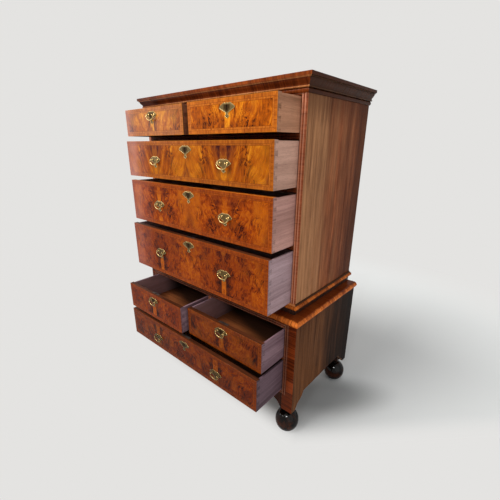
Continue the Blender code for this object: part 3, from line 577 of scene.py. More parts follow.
def finish_wood(nodes, shader, colour, wood, gloss, bump, coat=0.0, shine=0.25):
    """Join a wood's colour, tone and height to its shader, under a coat of old polish."""
    place = nodes.make("ShaderNodeTexCoord", output="Object")
    polish = nodes.group("Old Polish", {"Vector": place, "Gloss": gloss, "Tone": wood["Tone"]})
    nodes.fill(shader, {
        "Base Color": nodes.mix(polish["Grime"] * 0.22, colour, nodes.darker(colour, 0.55)),
        "Roughness": polish["Roughness"],
        "Normal": nodes.bump(wood["Height"] - polish["Scratches"] * 0.3, bump, 0.6),
        "Specular IOR Level": shine,
        "Coat Weight": coat,
        "Coat Roughness": 0.12,
    })


def darker_inside(nodes, colour, centre, half, start, lift):
    """A drawer's lining on the faces that look into it: paler as painted light, and painted shade far
    inside.
    """
    x, y, unused = nodes.separate(nodes.object_place())
    across = x - centre
    inner = abs(across) < half
    fade = nodes.ease(across * 0.35 + y, start, start + 0.12, 0.0, 0.92)
    return nodes.glaze(colour, (inner * lift, tone(196, 150, 142)), (inner * fade, PAINTED_INSIDE_SHADE))


def plain_wood(name, axis, pair, settings, gloss, bump, shine=0.25, inside_of=None):
    """One sawn wood whose grain runs along an axis of the piece."""
    nodes, shader = start_material(name)
    x, y, z = nodes.separate(nodes.object_place())
    order = {"X": (y, z, x), "Y": (z, x, y), "Z": (x, y, z)}[axis]
    wood = nodes.grain(nodes.combine(*order), pair, **settings)
    colour = wood["Color"]
    if inside_of:
        colour = darker_inside(nodes, colour, *inside_of)
    finish_wood(nodes, shader, colour, wood, gloss, bump, 0.0, shine)


def board_wood(name, half_width):
    """Upright pine boards side by side, each with its own figure."""
    nodes, shader = start_material(name)
    pair = pair_of("pine")
    place = nodes.object_place()
    x, unused, unused = nodes.separate(place)
    board = x * (BACK_BOARD_COUNT / (2 * half_width)) + BACK_BOARD_COUNT / 2
    board = nodes.math("FLOOR", board)
    wood = nodes.grain(place, pair, Bands=26.0, Pores=0.15, Seed=board)
    colour = nodes.mix(nodes.chance(board) * 0.30, wood["Color"], pair[1])
    finish_wood(nodes, shader, colour, wood, 0.72, 0.0005)


def side_wood(name, front_pair, back_pair, split, deepest, reach, eaves):
    """A case side in two tones: paler in front, with painted shade under its eaves and at its back edge.
    """
    nodes, shader = start_material(name)
    place = nodes.object_place()
    x, y, z = nodes.separate(place)
    front = nodes.grain(place, front_pair, Bands=66.0, Pores=0.5)
    back = nodes.grain(place, back_pair, Bands=46.0, Pores=0.4, Contrast=1.2, Seed=4.0)
    stretch = place * (1.0, 1.0, 0.12)
    depth = y + (nodes.noise(stretch, 16.0, 3.0) - 0.5) * 0.20
    share = nodes.ease(depth, split - 0.08, split + 0.08)
    ribbon = nodes.remap(nodes.noise(stretch, 52.0, 3.0, 0.7), 0.46, 0.66) * (share * 0.45 + 0.15)
    broad = nodes.remap(nodes.noise(stretch, 11.0, 4.0, 0.6), 0.48, 0.66, 0.0, 0.42)
    pale = nodes.remap(nodes.noise(nodes.combine(y, x, z * 0.1), 13.0), 0.5, 0.7) * 0.26
    # Painted shade under the eaves and towards the back edge.
    under = nodes.ease(z, eaves - 0.12, eaves, 0.0, 0.55)
    dusk = nodes.ease(depth, CASE_BACK - reach, CASE_BACK - 0.03, 0.0, deepest)
    deep = nodes.darker(back_pair[1], 0.5)
    colour = nodes.glaze(
        front["Color"],
        (share, back["Color"]),
        (ribbon, back_pair[1]),
        (broad, deep),
        (pale, front_pair[0]),
        (under, deep),
        (dusk, deep),
    )
    wood = nodes.blend_relief(share, front, back)
    finish_wood(nodes, shader, colour, wood, 0.36, 0.00025, 0.03, 0.01)


def shaded_returns(nodes, colour, dark, side_tone):
    """A moulding of the upper case, darker towards its ends, with painted shade for the tone of its
    returns.
    """
    x, y, unused = nodes.separate(nodes.object_place())
    to_right = nodes.remap(x, 0.20, 0.50, 0.0, 0.45)
    to_left = nodes.remap(x, -0.05, -0.50, 0.0, 0.9)
    on_return = abs(x) - UPPER_HALF - (UPPER_FRONT - BEAD_HEIGHT - y) > 0.0
    ends = (nodes.most(to_right, to_left), nodes.darker(dark, 0.35))
    return nodes.glaze(colour, ends, (on_return * 0.90, side_tone))


def painted_bead_shading(nodes, colour, pair, across, worn):
    """Beads with a painted highlight on their crests and painted shade in the valleys between them."""
    crest = abs(nodes.math("SINE", across * (math.pi / BEAD_GIRTH)))
    valley_shade = nodes.remap(crest, 0.0, 0.45, 0.8, 0.0) * worn
    crest_highlight = nodes.remap(crest, 0.86, 1.0, 0.0, worn)
    highlight_tone = nodes.mix(0.35, pair[0], (1.0, 0.62, 0.42))
    return nodes.glaze(colour, (valley_shade, nodes.darker(pair[1], 0.7)), (crest_highlight, highlight_tone))


def shaded_ledge(nodes, colour, dark, dusk):
    """The ledge of the waist, with mottled painted shade close to the upper case."""
    place = nodes.object_place()
    x, y, unused = nodes.separate(place)
    away = nodes.most(abs(x) - UPPER_HALF, UPPER_FRONT - y)
    away = (nodes.noise(place, 60.0, 4.0, 0.7) - 0.5) * 0.02 + away
    return nodes.mix(nodes.ease(away, 0.041, 0.052, dusk, 0.0), colour, nodes.darker(dark, 0.4))


def banded_wood(name, pair, gloss, change_share, coat=0.06, shine=0.02, **extra):
    """Crossbanded veneer on a moulding, in short pieces with the grain across its run.

    extra may hold a painted shade tone for returns, a painted light share for beads or a painted shade
    share for a ledge.
    """
    nodes, shader = start_material(name)
    light, dark = pair
    run = nodes.make("ShaderNodeUVMap", uv_map="run")
    along, across, unused = nodes.separate(run)
    count = along + nodes.noise(run, 3.0, 1.0) * 0.05
    count = count / bpy.context.scene.chest_sizes.piece_length
    piece = nodes.math("FLOOR", count)
    rest = nodes.math("FRACT", count)
    seam = nodes.remap(nodes.math("MINIMUM", rest, 1.0 - rest), 0.003, 0.010, 1.0, 0.0)
    grain = nodes.combine(along, piece * 0.31, across)
    wood = nodes.grain(grain, pair, Bands=110.0, Pores=0.35)
    change = nodes.chance(piece)
    lift = nodes.remap(change, 0.0, 0.35, change_share * 0.5, 0.0)
    colour = nodes.glaze(wood["Color"], (change * change_share, dark), (lift, light))
    if "side_tone" in extra:
        colour = shaded_returns(nodes, colour, dark, extra["side_tone"])
    if "worn" in extra:
        colour = painted_bead_shading(nodes, colour, pair, across, extra["worn"])
    if "dusk" in extra:
        colour = shaded_ledge(nodes, colour, dark, extra["dusk"])
    colour = nodes.mix(seam * 0.7, colour, SEAM_DARK)
    wood["Height"] -= seam
    finish_wood(nodes, shader, colour, wood, gloss, 0.0002, coat, shine)


def front_veneer(name, node, matches, seed, burr, tint_and_shade, painted_left_sheen):
    """The veneered face of one drawer front, with its leaves, feather band and crossbanding."""
    colours = bpy.context.scene.chest_colours
    sizes = bpy.context.scene.chest_sizes
    light = colours.veneer_light
    dark = colours.veneer_dark
    low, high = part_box(node)
    centre = (low + high) / 2
    half = (high - low) / 2
    nodes, shader = start_material(name)
    place = nodes.object_place(centre)
    x, unused, z = nodes.separate(place)
    leaf = abs(abs(x + (centre.x - matches[0])) - matches[1])
    rise = (x > matches[0] - centre.x) * 0.02
    figure = {"Vector": nodes.combine(leaf, 0.0, z + rise), "Burr": burr, "Seed": seed}
    figure.update({"Light": light, "Middle": colours.veneer_middle, "Dark": dark})
    veneer = nodes.group("Figured Veneer", figure)
    widths = {"Crossband": sizes.crossband_width, "Feather": sizes.feather_width}
    place_on_front = {"X": x, "Z": z, "Half Width": half.x, "Half Height": half.z}
    bands = nodes.group("Front Banding", {**place_on_front, **widths})
    banding = {"Bands": 130.0, "Contrast": 0.8, "Pores": 0.3, "Seed": bands["Piece"]}
    banding = nodes.grain(bands["Grain"], pair_of("band"), **banding)
    in_band = nodes.most(bands["Crossband"], bands["Feather"])
    flame = nodes.noise(nodes.combine(leaf, seed, z), 7.0, 3.0, 0.5, 0.6)
    plum = nodes.noise(nodes.combine(seed, leaf, z), 6.0, 3.0, 0.5, 0.6)
    colour = nodes.glaze(
        veneer["Color"],
        (nodes.remap(flame, 0.50, 0.68) * 0.42, light),
        (nodes.remap(plum, 0.52, 0.70) * 0.46, tone(84, 34, 34)),
        (in_band, banding["Color"]),
        (bands["Line"] * 0.55, dark),
        # A pale rim along the edges of the front is a painted highlight.
        (bands["Rim"] * 0.45, light),
    )
    # The tint is partly the veneer's own tone and partly painted shade that darkens the lower drawers.
    colour = nodes.mix(1.0, colour, tint_and_shade, blend="MULTIPLY")
    # Painted reflection: a pale mauve sheen laid over the left end of the front.
    painted_sheen_share = nodes.ease(x, -half.x, -half.x * 0.55, painted_left_sheen, 0.0)
    painted_sheen_share = painted_sheen_share * nodes.remap(nodes.noise(place, 9.0), 0.30, 0.60, 0.4, 1.0)
    colour = nodes.mix(painted_sheen_share, colour, tone(190, 146, 150))
    wood = nodes.blend_relief(in_band, veneer, banding)
    wood["Height"] -= bands["Line"]
    finish_wood(nodes, shader, colour, wood, 0.28, 0.00012, 0.10, 0.02)


def foot_finish():
    """Ebonised wood, faintly brown on the belly of the ball, with turning lines and old dents."""
    nodes, shader = start_material("foot_ebony")
    light, dark = pair_of("ebony")
    place = nodes.object_place()
    unused, unused, z = nodes.separate(place)
    belly = nodes.remap(abs(z - 0.050), 0.0, 0.045, 1.0, 0.0)
    wear = belly * 0.16 + nodes.noise(place, 24.0, 4.0, 0.6)
    wear = nodes.remap(wear, 0.54, 0.72)
    lathe = nodes.noise(nodes.combine(0.0, 0.0, z), 900.0)
    dents = nodes.noise(place, 95.0)
    nodes.fill(shader, {
        "Base Color": nodes.mix(wear, dark, light),
        "Roughness": wear * 0.16 + 0.07,
        "Normal": nodes.bump(dents * 14.0 + lathe, 0.00004, 0.7),
        "Specular IOR Level": 0.02,
        "Coat Weight": 0.30,
        "Coat Roughness": 0.02,
    })


def brass_finish():
    """Old lacquered brass: rubbed bright, brown in engraving and corners, with painted shade low down."""
    nodes, shader = start_material("old_brass")
    light, dark = pair_of("brass")
    place = nodes.object_place()
    unused, unused, z = nodes.separate(place)
    recess = nodes.make("ShaderNodeAttribute", output="Fac", attribute_name="recess")
    spots = nodes.noise(place, 260.0, 4.0, 0.65)
    tarnish = nodes.remap(nodes.noise(place, 46.0, 3.0) * 0.6 + spots, 0.78, 1.05)
    scroll = abs(nodes.noise(place, 190.0, 0.0, 0.5, 2.2) - 0.5)
    engraved = nodes.remap(scroll, 0.015, 0.05, 0.55, 0.0) * nodes.remap(recess, 0.2, 0.4)
    tarnish = nodes.most(tarnish * 0.5, recess * 0.95, engraved + recess * 0.5)
    # Painted shade: the brass darkens lower down on the chest.
    darker_lower = nodes.remap(z, 0.30, 1.20, 0.70, 0.14)
    nodes.fill(shader, {
        "Base Color": nodes.glaze(light, (tarnish, dark), (darker_lower, dark)),
        "Roughness": tarnish * 0.30 + 0.22,
        "Normal": nodes.bump(spots, 0.00006, 0.5),
        "Metallic": 1.0,
    })


def iron_finish():
    """Forged iron, dark and lightly pitted."""
    nodes, shader = start_material("iron")
    place = nodes.object_place()
    pits = nodes.noise(place, 180.0, 5.0, 0.7)
    rust = nodes.remap(nodes.noise(place, 60.0, 3.0), 0.52, 0.70) * 0.6
    nodes.fill(shader, {
        "Base Color": nodes.mix(rust, bpy.context.scene.chest_colours.iron, tone(96, 56, 36)),
        "Roughness": nodes.remap(pits, 0.3, 0.7, 0.38, 0.62),
        "Normal": nodes.bump(pits, 0.0003, 0.6),
        "Metallic": 0.85,
    })


def keyhole_shade_finish():
    """A black sheet at the bottom of a keyhole, painted shade for the dark of the hole."""
    nodes, shader = start_material("keyhole_dark")
    speckle = nodes.noise(nodes.object_place(), 300.0)
    colour = nodes.mix(speckle, (0.004, 0.003, 0.002), (0.012, 0.008, 0.006))
    nodes.fill(shader, {"Base Color": colour, "Roughness": 0.9, "Specular IOR Level": 0.0})


def circle(segments):
    """Cosine and sine of evenly spaced turns."""
    turns = [2 * math.pi * step / segments for step in range(segments)]
    return [(math.cos(turn), math.sin(turn)) for turn in turns]


def pairs_round(ring):
    """Each item of a closed ring with the one after it."""
    return zip(ring, [*ring[1:], ring[0]])


# Sides of the round sections of bails and eyes, steps round an eye, and sides of a turned post
SECTION_SIDES = 12
EYE_STEPS = 24
POST_SIDES = 20


class Shell:
    """Collects the faces of one piece. Its map called run holds metres along and round a member."""

    def __init__(self):
        self.shape = bmesh.new()
        self.run = self.shape.loops.layers.uv.new("run")

    def quad(self, corners, marks, part):
        face = self.shape.faces.new(corners)
        face.material_index = part
        for loop, mark in zip(face.loops, marks):
            loop[self.run].uv = mark

    def ring(self, places):
        return [self.shape.verts.new(place) for place in places]

    def skin(self, rings, part=0, closed=False):
        """Join rings of points one after another, and close the ends unless the rings do."""
        for lower, upper in pairs_round(rings) if closed else zip(rings, rings[1:]):
            steps = enumerate(zip(pairs_round(lower), pairs_round(upper)))
            for step, ((first, second), (third, fourth)) in steps:
                marks = ((step, 0.0), (step + 1, 0.0), (step + 1, 1.0), (step, 1.0))
                self.quad((first, second, fourth, third), marks, part)
        for ring in () if closed else (rings[0], rings[-1]):
            self.quad(ring, [(corner.co.x, corner.co.z) for corner in ring], part)

    def wrap(self, near, far, outline, parts, metres_along):
        """Join the same outline at two stations, with the parts of its faces in their order."""
        girth = 0.0
        for index, part in enumerate(parts):
            after = (index + 1) % len(outline)
            reach = girth + (Vector(outline[after]) - Vector(outline[index])).length
            corners = (near[index], near[after], far[after], far[index])
            lengths = [metres_along(corner.co) for corner in corners]
            self.quad(corners, list(zip(lengths, (girth, reach, reach, girth))), part)
            girth = reach

    def prism(self, outline, axis, start, end, parts, cap=0):
        """Extrude a closed outline. Outlines are (y, z) for X, (x, z) for Y and (x, y) for Z."""
        along = "XYZ".index(axis)
        near, far = (
            self.ring((*pair[:along], level, *pair[along:]) for pair in outline)
            for level in (start, end)
        )
        parts = [parts] * len(outline) if isinstance(parts, int) else parts
        self.wrap(near, far, outline, parts, lambda place: place[along])
        self.quad(near, outline, cap)
        self.quad(far, outline, cap)

    def box(self, low, high, part=0, ease=0.0):
        """A block, with eased edges where asked."""
        outline = [(low[0], low[1]), (high[0], low[1]), (high[0], high[1]), (low[0], high[1])]
        before = set(self.shape.faces)
        self.prism(outline, "Z", low[2], high[2], part, part)
        if ease:
            made = [face for face in self.shape.faces if face not in before]
            edges = list({edge for face in made for edge in face.edges})
            ease_edges(self.shape, edges, ease, segments=2)

    def frame_run(self, profile, half_width, front, parts, cap):
        """Sweep a closed (overhang, height) profile round the left, front and right of a case.

        Each run's metres start at another number, so that no two runs show the same veneers.
        """
        stations = []
        corners = ((-1, CASE_BACK, 0), (-1, front, -1), (1, front, -1), (1, CASE_BACK, 0))
        for side, reach, outward in corners:
            stations.append(self.ring(
                (side * (half_width + overhang), reach + outward * overhang, height)
                for overhang, height in profile
            ))
        left, left_front, right_front, right = stations
        self.wrap(left, left_front, profile, parts, lambda place: place.y + 1.0)
        self.wrap(left_front, right_front, profile, parts, lambda place: place.x + 5.0)
        self.wrap(right_front, right, profile, parts, lambda place: place.y + 4.4)
        self.quad(left, profile, cap)
        self.quad(right, profile, cap)

    def lathe(self, profile, segments, placing):
        """Spin a (radius, height) profile about Z, then move it to its place."""
        turns = circle(segments)
        self.skin([
            self.ring(placing @ Vector((radius * across, radius * up, height)) for across, up in turns)
            for radius, height in profile
        ])

    def hoop(self, centre, inner, outer, half_width):
        """A rounded eye with a hole along X, for the head of a post."""
        middle = (inner + outer) / 2
        thickness = (outer - inner) / 2
        section = [
            (middle + thickness * out, half_width * side) for out, side in circle(SECTION_SIDES)
        ]
        self.skin([
            self.ring(centre + Vector((across, radius * near, radius * up)) for radius, across in section)
            for near, up in circle(EYE_STEPS)
        ], closed=True)

    def tube(self, path, origin):
        """Sweep a round section along (x, z, radius) points in an upright plane."""
        rings = []
        for index, (across, level, radius) in enumerate(path):
            before = path[max(index - 1, 0)]
            after = path[min(index + 1, len(path) - 1)]
            along = Vector((after[0] - before[0], 0.0, after[1] - before[1])).normalized()
            outward = Vector((along.z, 0.0, -along.x))
            middle = Vector((across, 0.0, level)) + origin
            rings.append(self.ring(
                middle + (outward * near + Vector((0.0, aside, 0.0))) * radius
                for near, aside in circle(SECTION_SIDES)
            ))
        self.skin(rings)

    def piece(self, name, materials, body, slot_name, *replaced, angle=32.0):
        """Close the shell as a piece that rides on a body and stands for the nodes it replaces."""
        bmesh.ops.recalc_face_normals(self.shape, faces=self.shape.faces)
        new_piece(name, close_shape(self.shape, name, angle), materials, body, slot_name, *replaced)


def ease_edges(shape, edges, width, segments):
    bmesh.ops.bevel(shape, geom=edges, offset=width, segments=segments, profile=0.5, affect="EDGES")


def close_shape(shape, name, angle):
    """Turn a bmesh into a mesh that is smooth round curves and crisp at corners and flats."""
    for face in shape.faces:
        face.smooth = True
    limit = math.radians(angle)
    much_larger = 6
    for edge in shape.edges:
        areas = sorted(face.calc_area() for face in edge.link_faces)
        flat_meets_curve = len(areas) == 2 and areas[1] > much_larger * areas[0]
        if flat_meets_curve or edge.calc_face_angle(0.0) > limit:
            edge.smooth = False
    mesh = bpy.data.meshes.new(name)
    shape.to_mesh(mesh)
    shape.free()
    return mesh


def new_piece(name, mesh, materials, body, slot_name, *replaced):
    """Link a finished mesh as a piece of the chest that rides on a body."""
    piece = bpy.data.objects.new(name, mesh)
    bpy.context.scene.collection.objects.link(piece)
    if not mesh.materials:
        for material in materials:
            mesh.materials.append(bpy.data.materials[material])
    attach(piece, body)
    if replaced:
        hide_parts(*replaced)


def arc(centre, radius_a, radius_b, start, end, steps):
    """Points of an elliptical arc from one angle to another, in degrees."""
    turns = [math.radians(start + (end - start) * step / steps) for step in range(steps + 1)]
    return [
        (centre[0] + radius_a * math.cos(turn), centre[1] + radius_b * math.sin(turn))
        for turn in turns
    ]


def beads(start, width, count=2):
    """Points of half-round beads side by side, as (distance along, height) from start."""
    steps = bpy.context.scene.chest_sizes.bead_steps
    each = width / count
    points = []
    for bead in range(count):
        for step in range(1 if bead else 0, steps + 1):
            turn = math.pi * step / steps
            along = start + each * (bead + (1 - math.cos(turn)) / 2)
            points.append((along, BEAD_HEIGHT * math.sin(turn)))
    return points


def bead_section(front, start, width, count=2):
    """The same beads as (y, z) points before a front plane."""
    return [(front - height, along) for along, height in beads(start, width, count)]


def front_corner(half, front):
    """The eased corner between the front and the side of a case, as (x, y)."""
    centre = (half - CORNER_EASE, front + CORNER_EASE)
    return arc(centre, CORNER_EASE, CORNER_EASE, -90, 0, 4)


def bracket_curve(inner, outer, steps=16):
    """S-shaped bracket from the leg's inner edge up to the apron line."""
    points = []
    for step in range(steps + 1):
        share = step / steps
        rise = share + BRACKET_WAVE * math.sin(2 * math.pi * share)
        points.append((outer + (inner - outer) * share, LEG_FOOT + (APRON_LEVEL - LEG_FOOT) * rise))
    return points


def dress(node, material):
    """Give a CAD node's slots a finished material."""
    for place in NODES[node].material_slots:
        place.material = bpy.data.materials[material]


class CHEST_OT_finishes(bpy.types.Operator):
    """Mix the woods, brass and iron that the pieces share"""

    bl_idname = "chest.finishes"
    bl_label = "Finishes"

    def execute(self, context):
        straight_grain_group()
        figured_veneer_group()
        banding_group()
        handling_group()
        lower = tones((112, 70, 42), (54, 30, 14))
        lower_back = tones((96, 60, 40), (28, 13, 6))
        upper = (pair_of("side"), pair_of("side_red"))
        side_wood("upper_side_walnut", *upper, 0.04, 0.78, 0.20, CORNICE_FOOT)
        side_wood("lower_side_walnut", lower, lower_back, 0.12, 0.96, 0.36, WAIST_FOOT + 0.07)
        self.mix_bandings()
        self.mix_plain_woods()
        for boards in ("upper", "lower"):
            board_wood(boards + "_boards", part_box(boards + "_back_boards")[1].x)
        foot_finish()
        brass_finish()
        iron_finish()
        keyhole_shade_finish()
        return {"FINISHED"}

    def mix_bandings(self):
        """Each banding: its tones, gloss, change from piece to piece, then coat and shine."""
        bead = pair_of("bead")
        moulding = pair_of("moulding")
        lower_bead = tones((118, 54, 30), (60, 25, 12))
        fascia = tones((196, 98, 42), (88, 34, 12))
        # The fillets are pale as a painted highlight.
        fillet = tones((240, 172, 108), (176, 96, 50))
        torus = tones((220, 118, 44), (86, 32, 10))
        waist = tones((240, 132, 52), (110, 42, 16))
        banded_wood("bead_walnut", bead, 0.24, 0.12, 0.16, 0.06, worn=0.8)
        banded_wood("lower_bead_walnut", lower_bead, 0.26, 0.12, 0.10, 0.02, worn=0.25)
        banded_wood("stile_walnut", tones((156, 68, 27), (56, 19, 6)), 0.34, 0.62)
        # The apron and the rails are darker in part as painted shade, where the drawers shade them.
        banded_wood("apron_walnut", tones((74, 34, 18), (28, 11, 6)), 0.36, 0.40)
        banded_wood("rail_walnut", tones((128, 60, 30), (60, 23, 10)), 0.30, 0.30)
        # The returns of the cornice's parts take tones of painted shade.
        banded_wood("moulding_walnut", moulding, 0.30, 0.35, side_tone=tone(52, 30, 18))
        banded_wood("fascia_walnut", fascia, 0.26, 0.40, side_tone=tone(50, 24, 12))
        banded_wood("fillet_walnut", fillet, 0.24, 0.30, side_tone=tone(20, 10, 6))
        banded_wood("torus_walnut", torus, 0.20, 0.55, 0.08, 0.01)
        # The waist ledge takes painted shade close to the upper case.
        banded_wood("waist_walnut", waist, 0.24, 0.24, 0.08, 0.02, dusk=0.88)

    def mix_plain_woods(self):
        """Each plain wood: its grain's axis, tones and figure, then gloss, relief and shine."""
        edge = {"Bands": 60.0, "Pores": 0.5}
        plinth = tones((60, 28, 14), (26, 10, 5))
        darker_lower = tones((98, 52, 30), (50, 24, 12))
        oak = tones((150, 112, 84), (92, 62, 44))
        # Dark walnut, darkened further as painted shade, for the plinth and the corner blocks of the
        # legs.
        plain_wood("plinth_walnut", "Z", plinth, {"Bands": 60.0}, 0.45, 0.0002)
        plain_wood("edge_walnut", "X", pair_of("band"), edge, 0.42, 0.0002, 0.05)
        plain_wood("lower_edge_walnut", "X", darker_lower, edge, 0.42, 0.0002, 0.05)
        plain_wood("carcass_oak", "Y", oak, {"Bands": 46.0}, 0.66, 0.0005)
        plain_wood("pine_across", "X", pair_of("pine"), {"Bands": 26.0, "Pores": 0.15}, 0.72, 0.0005)


class CHEST_OT_upper_case(bpy.types.Operator):
    """Build the upper case: sides, rails, divider, boards and back"""

    bl_idname = "chest.upper_case"
    bl_label = "Upper case"

    def execute(self, context):
        self.build_side(-1, "left")
        self.build_side(1, "right")
        for node in ("upper_rail_1", "upper_rail_2", "upper_rail_3"):
            beaded_rail(node, UPPER_FRONT)
        self.build_top_board()
        self.build_bottom_board()
        beaded_divider("upper_divider", UPPER_FRONT)
        dress("upper_back_boards", "upper_boards")
        return {"FINISHED"}

    def build_side(self, side, word):
        """A double bead in front, a veneered outer face and a rebate for the back."""
        plan = [(along, UPPER_FRONT - height) for along, height in beads(UPPER_INNER, 2 * BEAD_WIDTH)]
        beaded = len(plan)
        rebate = UPPER_INNER + BACK_THICKNESS
        plan += front_corner(UPPER_HALF, UPPER_FRONT)
        plan += [(UPPER_HALF, CASE_BACK), (rebate, CASE_BACK), (rebate, BACK_INNER)]
        plan.append((UPPER_INNER, BACK_INNER))
        outline = [(side * across, depth) for across, depth in plan]
        parts = [0] * (beaded + 4) + [1] + [2] * 4
        # Below the base moulding the faces take the dark plinth tone, partly painted shade.
        below_moulding_parts = [3 if part < 2 else 2 for part in parts]
        join = MOULDING_FOOT + 0.002
        shell = Shell()
        shell.prism(outline, "Z", UPPER_LOW.z, join, below_moulding_parts, 2)
        shell.prism(outline, "Z", join, UPPER_HIGH.z, parts, 2)
        materials = ("bead_walnut", "upper_side_walnut", "carcass_oak", "plinth_walnut")
        shell.piece("upper_side_%s_veneered" % word, materials, CASE, "side_walnut", "upper_side_" + word)

    def build_top_board(self):
        low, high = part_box("upper_top_board")
        section = bead_section(UPPER_FRONT, low.z, TOP_BEAD_WIDTH, 1)
        parts = [0] * (len(section) - 1) + [1] * 4
        section += [(UPPER_FRONT, high.z), (high.y, high.z), (high.y, low.z)]
        shell = Shell()
        shell.prism(section, "X", low.x, high.x, parts, 1)
        materials = ("bead_walnut", "pine_across")
        shell.piece("upper_top_board_beaded", materials, CASE, "pine", "upper_top_board")

    def build_bottom_board(self):
        low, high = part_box("upper_bottom_board")
        strip = UPPER_FRONT + PLINTH_STRIP_DEPTH
        under = high.z - DUSTBOARD_THICKNESS
        section = [(UPPER_FRONT, low.z), (UPPER_FRONT, high.z), (high.y, high.z), (high.y, under)]
        section += [(strip, under), (strip, low.z)]
        shell = Shell()
        # The front strip takes the dark plinth tone, partly painted shade under the base moulding.
        shell.prism(section, "X", low.x, high.x, [0, 1, 1, 1, 1, 0], 1)
        shell.piece("upper_plinth", ("plinth_walnut", "pine_across"), CASE, "pine", "upper_bottom_board")


def beaded_rail(node, front):
    """A rail with a crossbanded double bead and a thin dustboard behind it."""
    low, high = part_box(node)
    section = bead_section(front, low.z, high.z - low.z)
    parts = [0] * (len(section) - 1) + [1] * 5
    under = high.z - DUSTBOARD_THICKNESS
    behind = front + RAIL_DEPTH
    section += [(high.y, high.z), (high.y, under), (behind, under), (behind, low.z)]
    shell = Shell()
    shell.prism(section, "X", low.x, high.x, parts, 1)
    materials = ("rail_walnut", "pine_across")
    shell.piece(node + "_beaded", materials, CASE, "crossbanded_walnut", node)


def beaded_divider(node, front):
    """The upright between two short drawers, with a crossbanded double bead in front."""
    low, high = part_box(node)
    outline = [(along, front - height) for along, height in beads(low.x, high.x - low.x)]
    parts = [0] * (len(outline) - 1) + [1] * 3
    outline += [(high.x, high.y), (low.x, high.y)]
    shell = Shell()
    shell.prism(outline, "Z", low.z, high.z, parts, 1)
    materials = ("bead_walnut", "carcass_oak")
    shell.piece(node + "_beaded", materials, CASE, "crossbanded_walnut", node)


class CHEST_OT_mouldings(bpy.types.Operator):
    """Sweep the cornice and the moulding round the foot of the upper case"""

    bl_idname = "chest.mouldings"
    bl_label = "Cornice and base moulding"

    def execute(self, context):
        steps = context.scene.chest_sizes.moulding_steps
        profile, parts = self.cornice_profile(steps)
        materials = ("fascia_walnut", "fillet_walnut", "moulding_walnut", "pine_across")
        self.sweep("cornice_moulded", profile, parts, 3, materials, "cornice")
        profile, parts = self.base_profile(steps)
        materials = ("torus_walnut", "fillet_walnut")
        self.sweep("base_moulding_moulded", profile, parts, 0, materials, "upper_base_moulding")
        return {"FINISHED"}

    def sweep(self, name, profile, parts, cap, materials, node):
        shell = Shell()
        shell.frame_run(profile, UPPER_HALF, UPPER_FRONT - BEAD_HEIGHT, parts, cap)
        shell.piece(name, materials, CASE, "crossbanded_walnut", node, angle=28.0)

    def cornice_profile(self, steps):
        """Crossbanded fascia, fillet, cyma, bead and lower half-round, then the pine backing."""
        reach = CORNICE_OVERHANG
        ease = 0.001
        fascia = CORNICE_TOP - 0.012
        fillet = reach - 0.005
        cyma_top = fascia - 0.004
        cyma_start = reach - 0.009
        cyma_end = 0.009
        bead_top = CORNICE_FOOT + 0.022
        bead_radius = 0.003
        backing = TOP_BOARD_TOP + FIT_GAP
        points = [(-CORNICE_FRAME_WIDTH, CORNICE_TOP), (reach - ease, CORNICE_TOP)]
        points += arc((reach - ease, CORNICE_TOP - ease), ease, ease, 80, 0, 3)
        parts = [0] * len(points)
        points += [(reach, fascia), (fillet, fascia), (fillet, cyma_top)]
        parts += [1] * 3
        for step in range(steps + 1):
            share = step / steps
            wave = share - 0.13 * math.sin(2 * math.pi * share)
            depth = (cyma_start - cyma_end) * wave
            points.append((cyma_start - depth, cyma_top - (cyma_top - bead_top) * share))
            parts.append(2)
        points += arc((cyma_end, bead_top - bead_radius), bead_radius, bead_radius, 60, -90, steps // 2)
        parts += [1] * (len(points) - len(parts))
        points += arc((FIT_GAP + 0.001, CORNICE_FOOT + 0.008), 0.006, 0.008, 90, -90, steps)
        points.append((FIT_GAP, CORNICE_FOOT))
        parts += [0] * (len(points) - 1 - len(parts))
        points += [(FIT_GAP, backing), (-CORNICE_FRAME_WIDTH, backing)]
        parts += [3] * 3
        return points, parts

    def base_profile(self, steps):
        """Fillet, torus and fillet, planted round the foot of the upper case."""
        top = UPPER_SILL
        bottom = MOULDING_FOOT
        fillet = 0.006
        middle = (top + bottom) / 2 - 0.002
        points = [(FIT_GAP, top), (0.004, top), (fillet, top - 0.004)]
        reach = BASE_MOULDING_OVERHANG - fillet
        points += arc((fillet, middle), reach, middle - bottom - 0.002, 80, -80, steps)
        points += [(0.005, bottom), (FIT_GAP, bottom)]
        return points, [1] * 3 + [0] * steps + [1] * 3


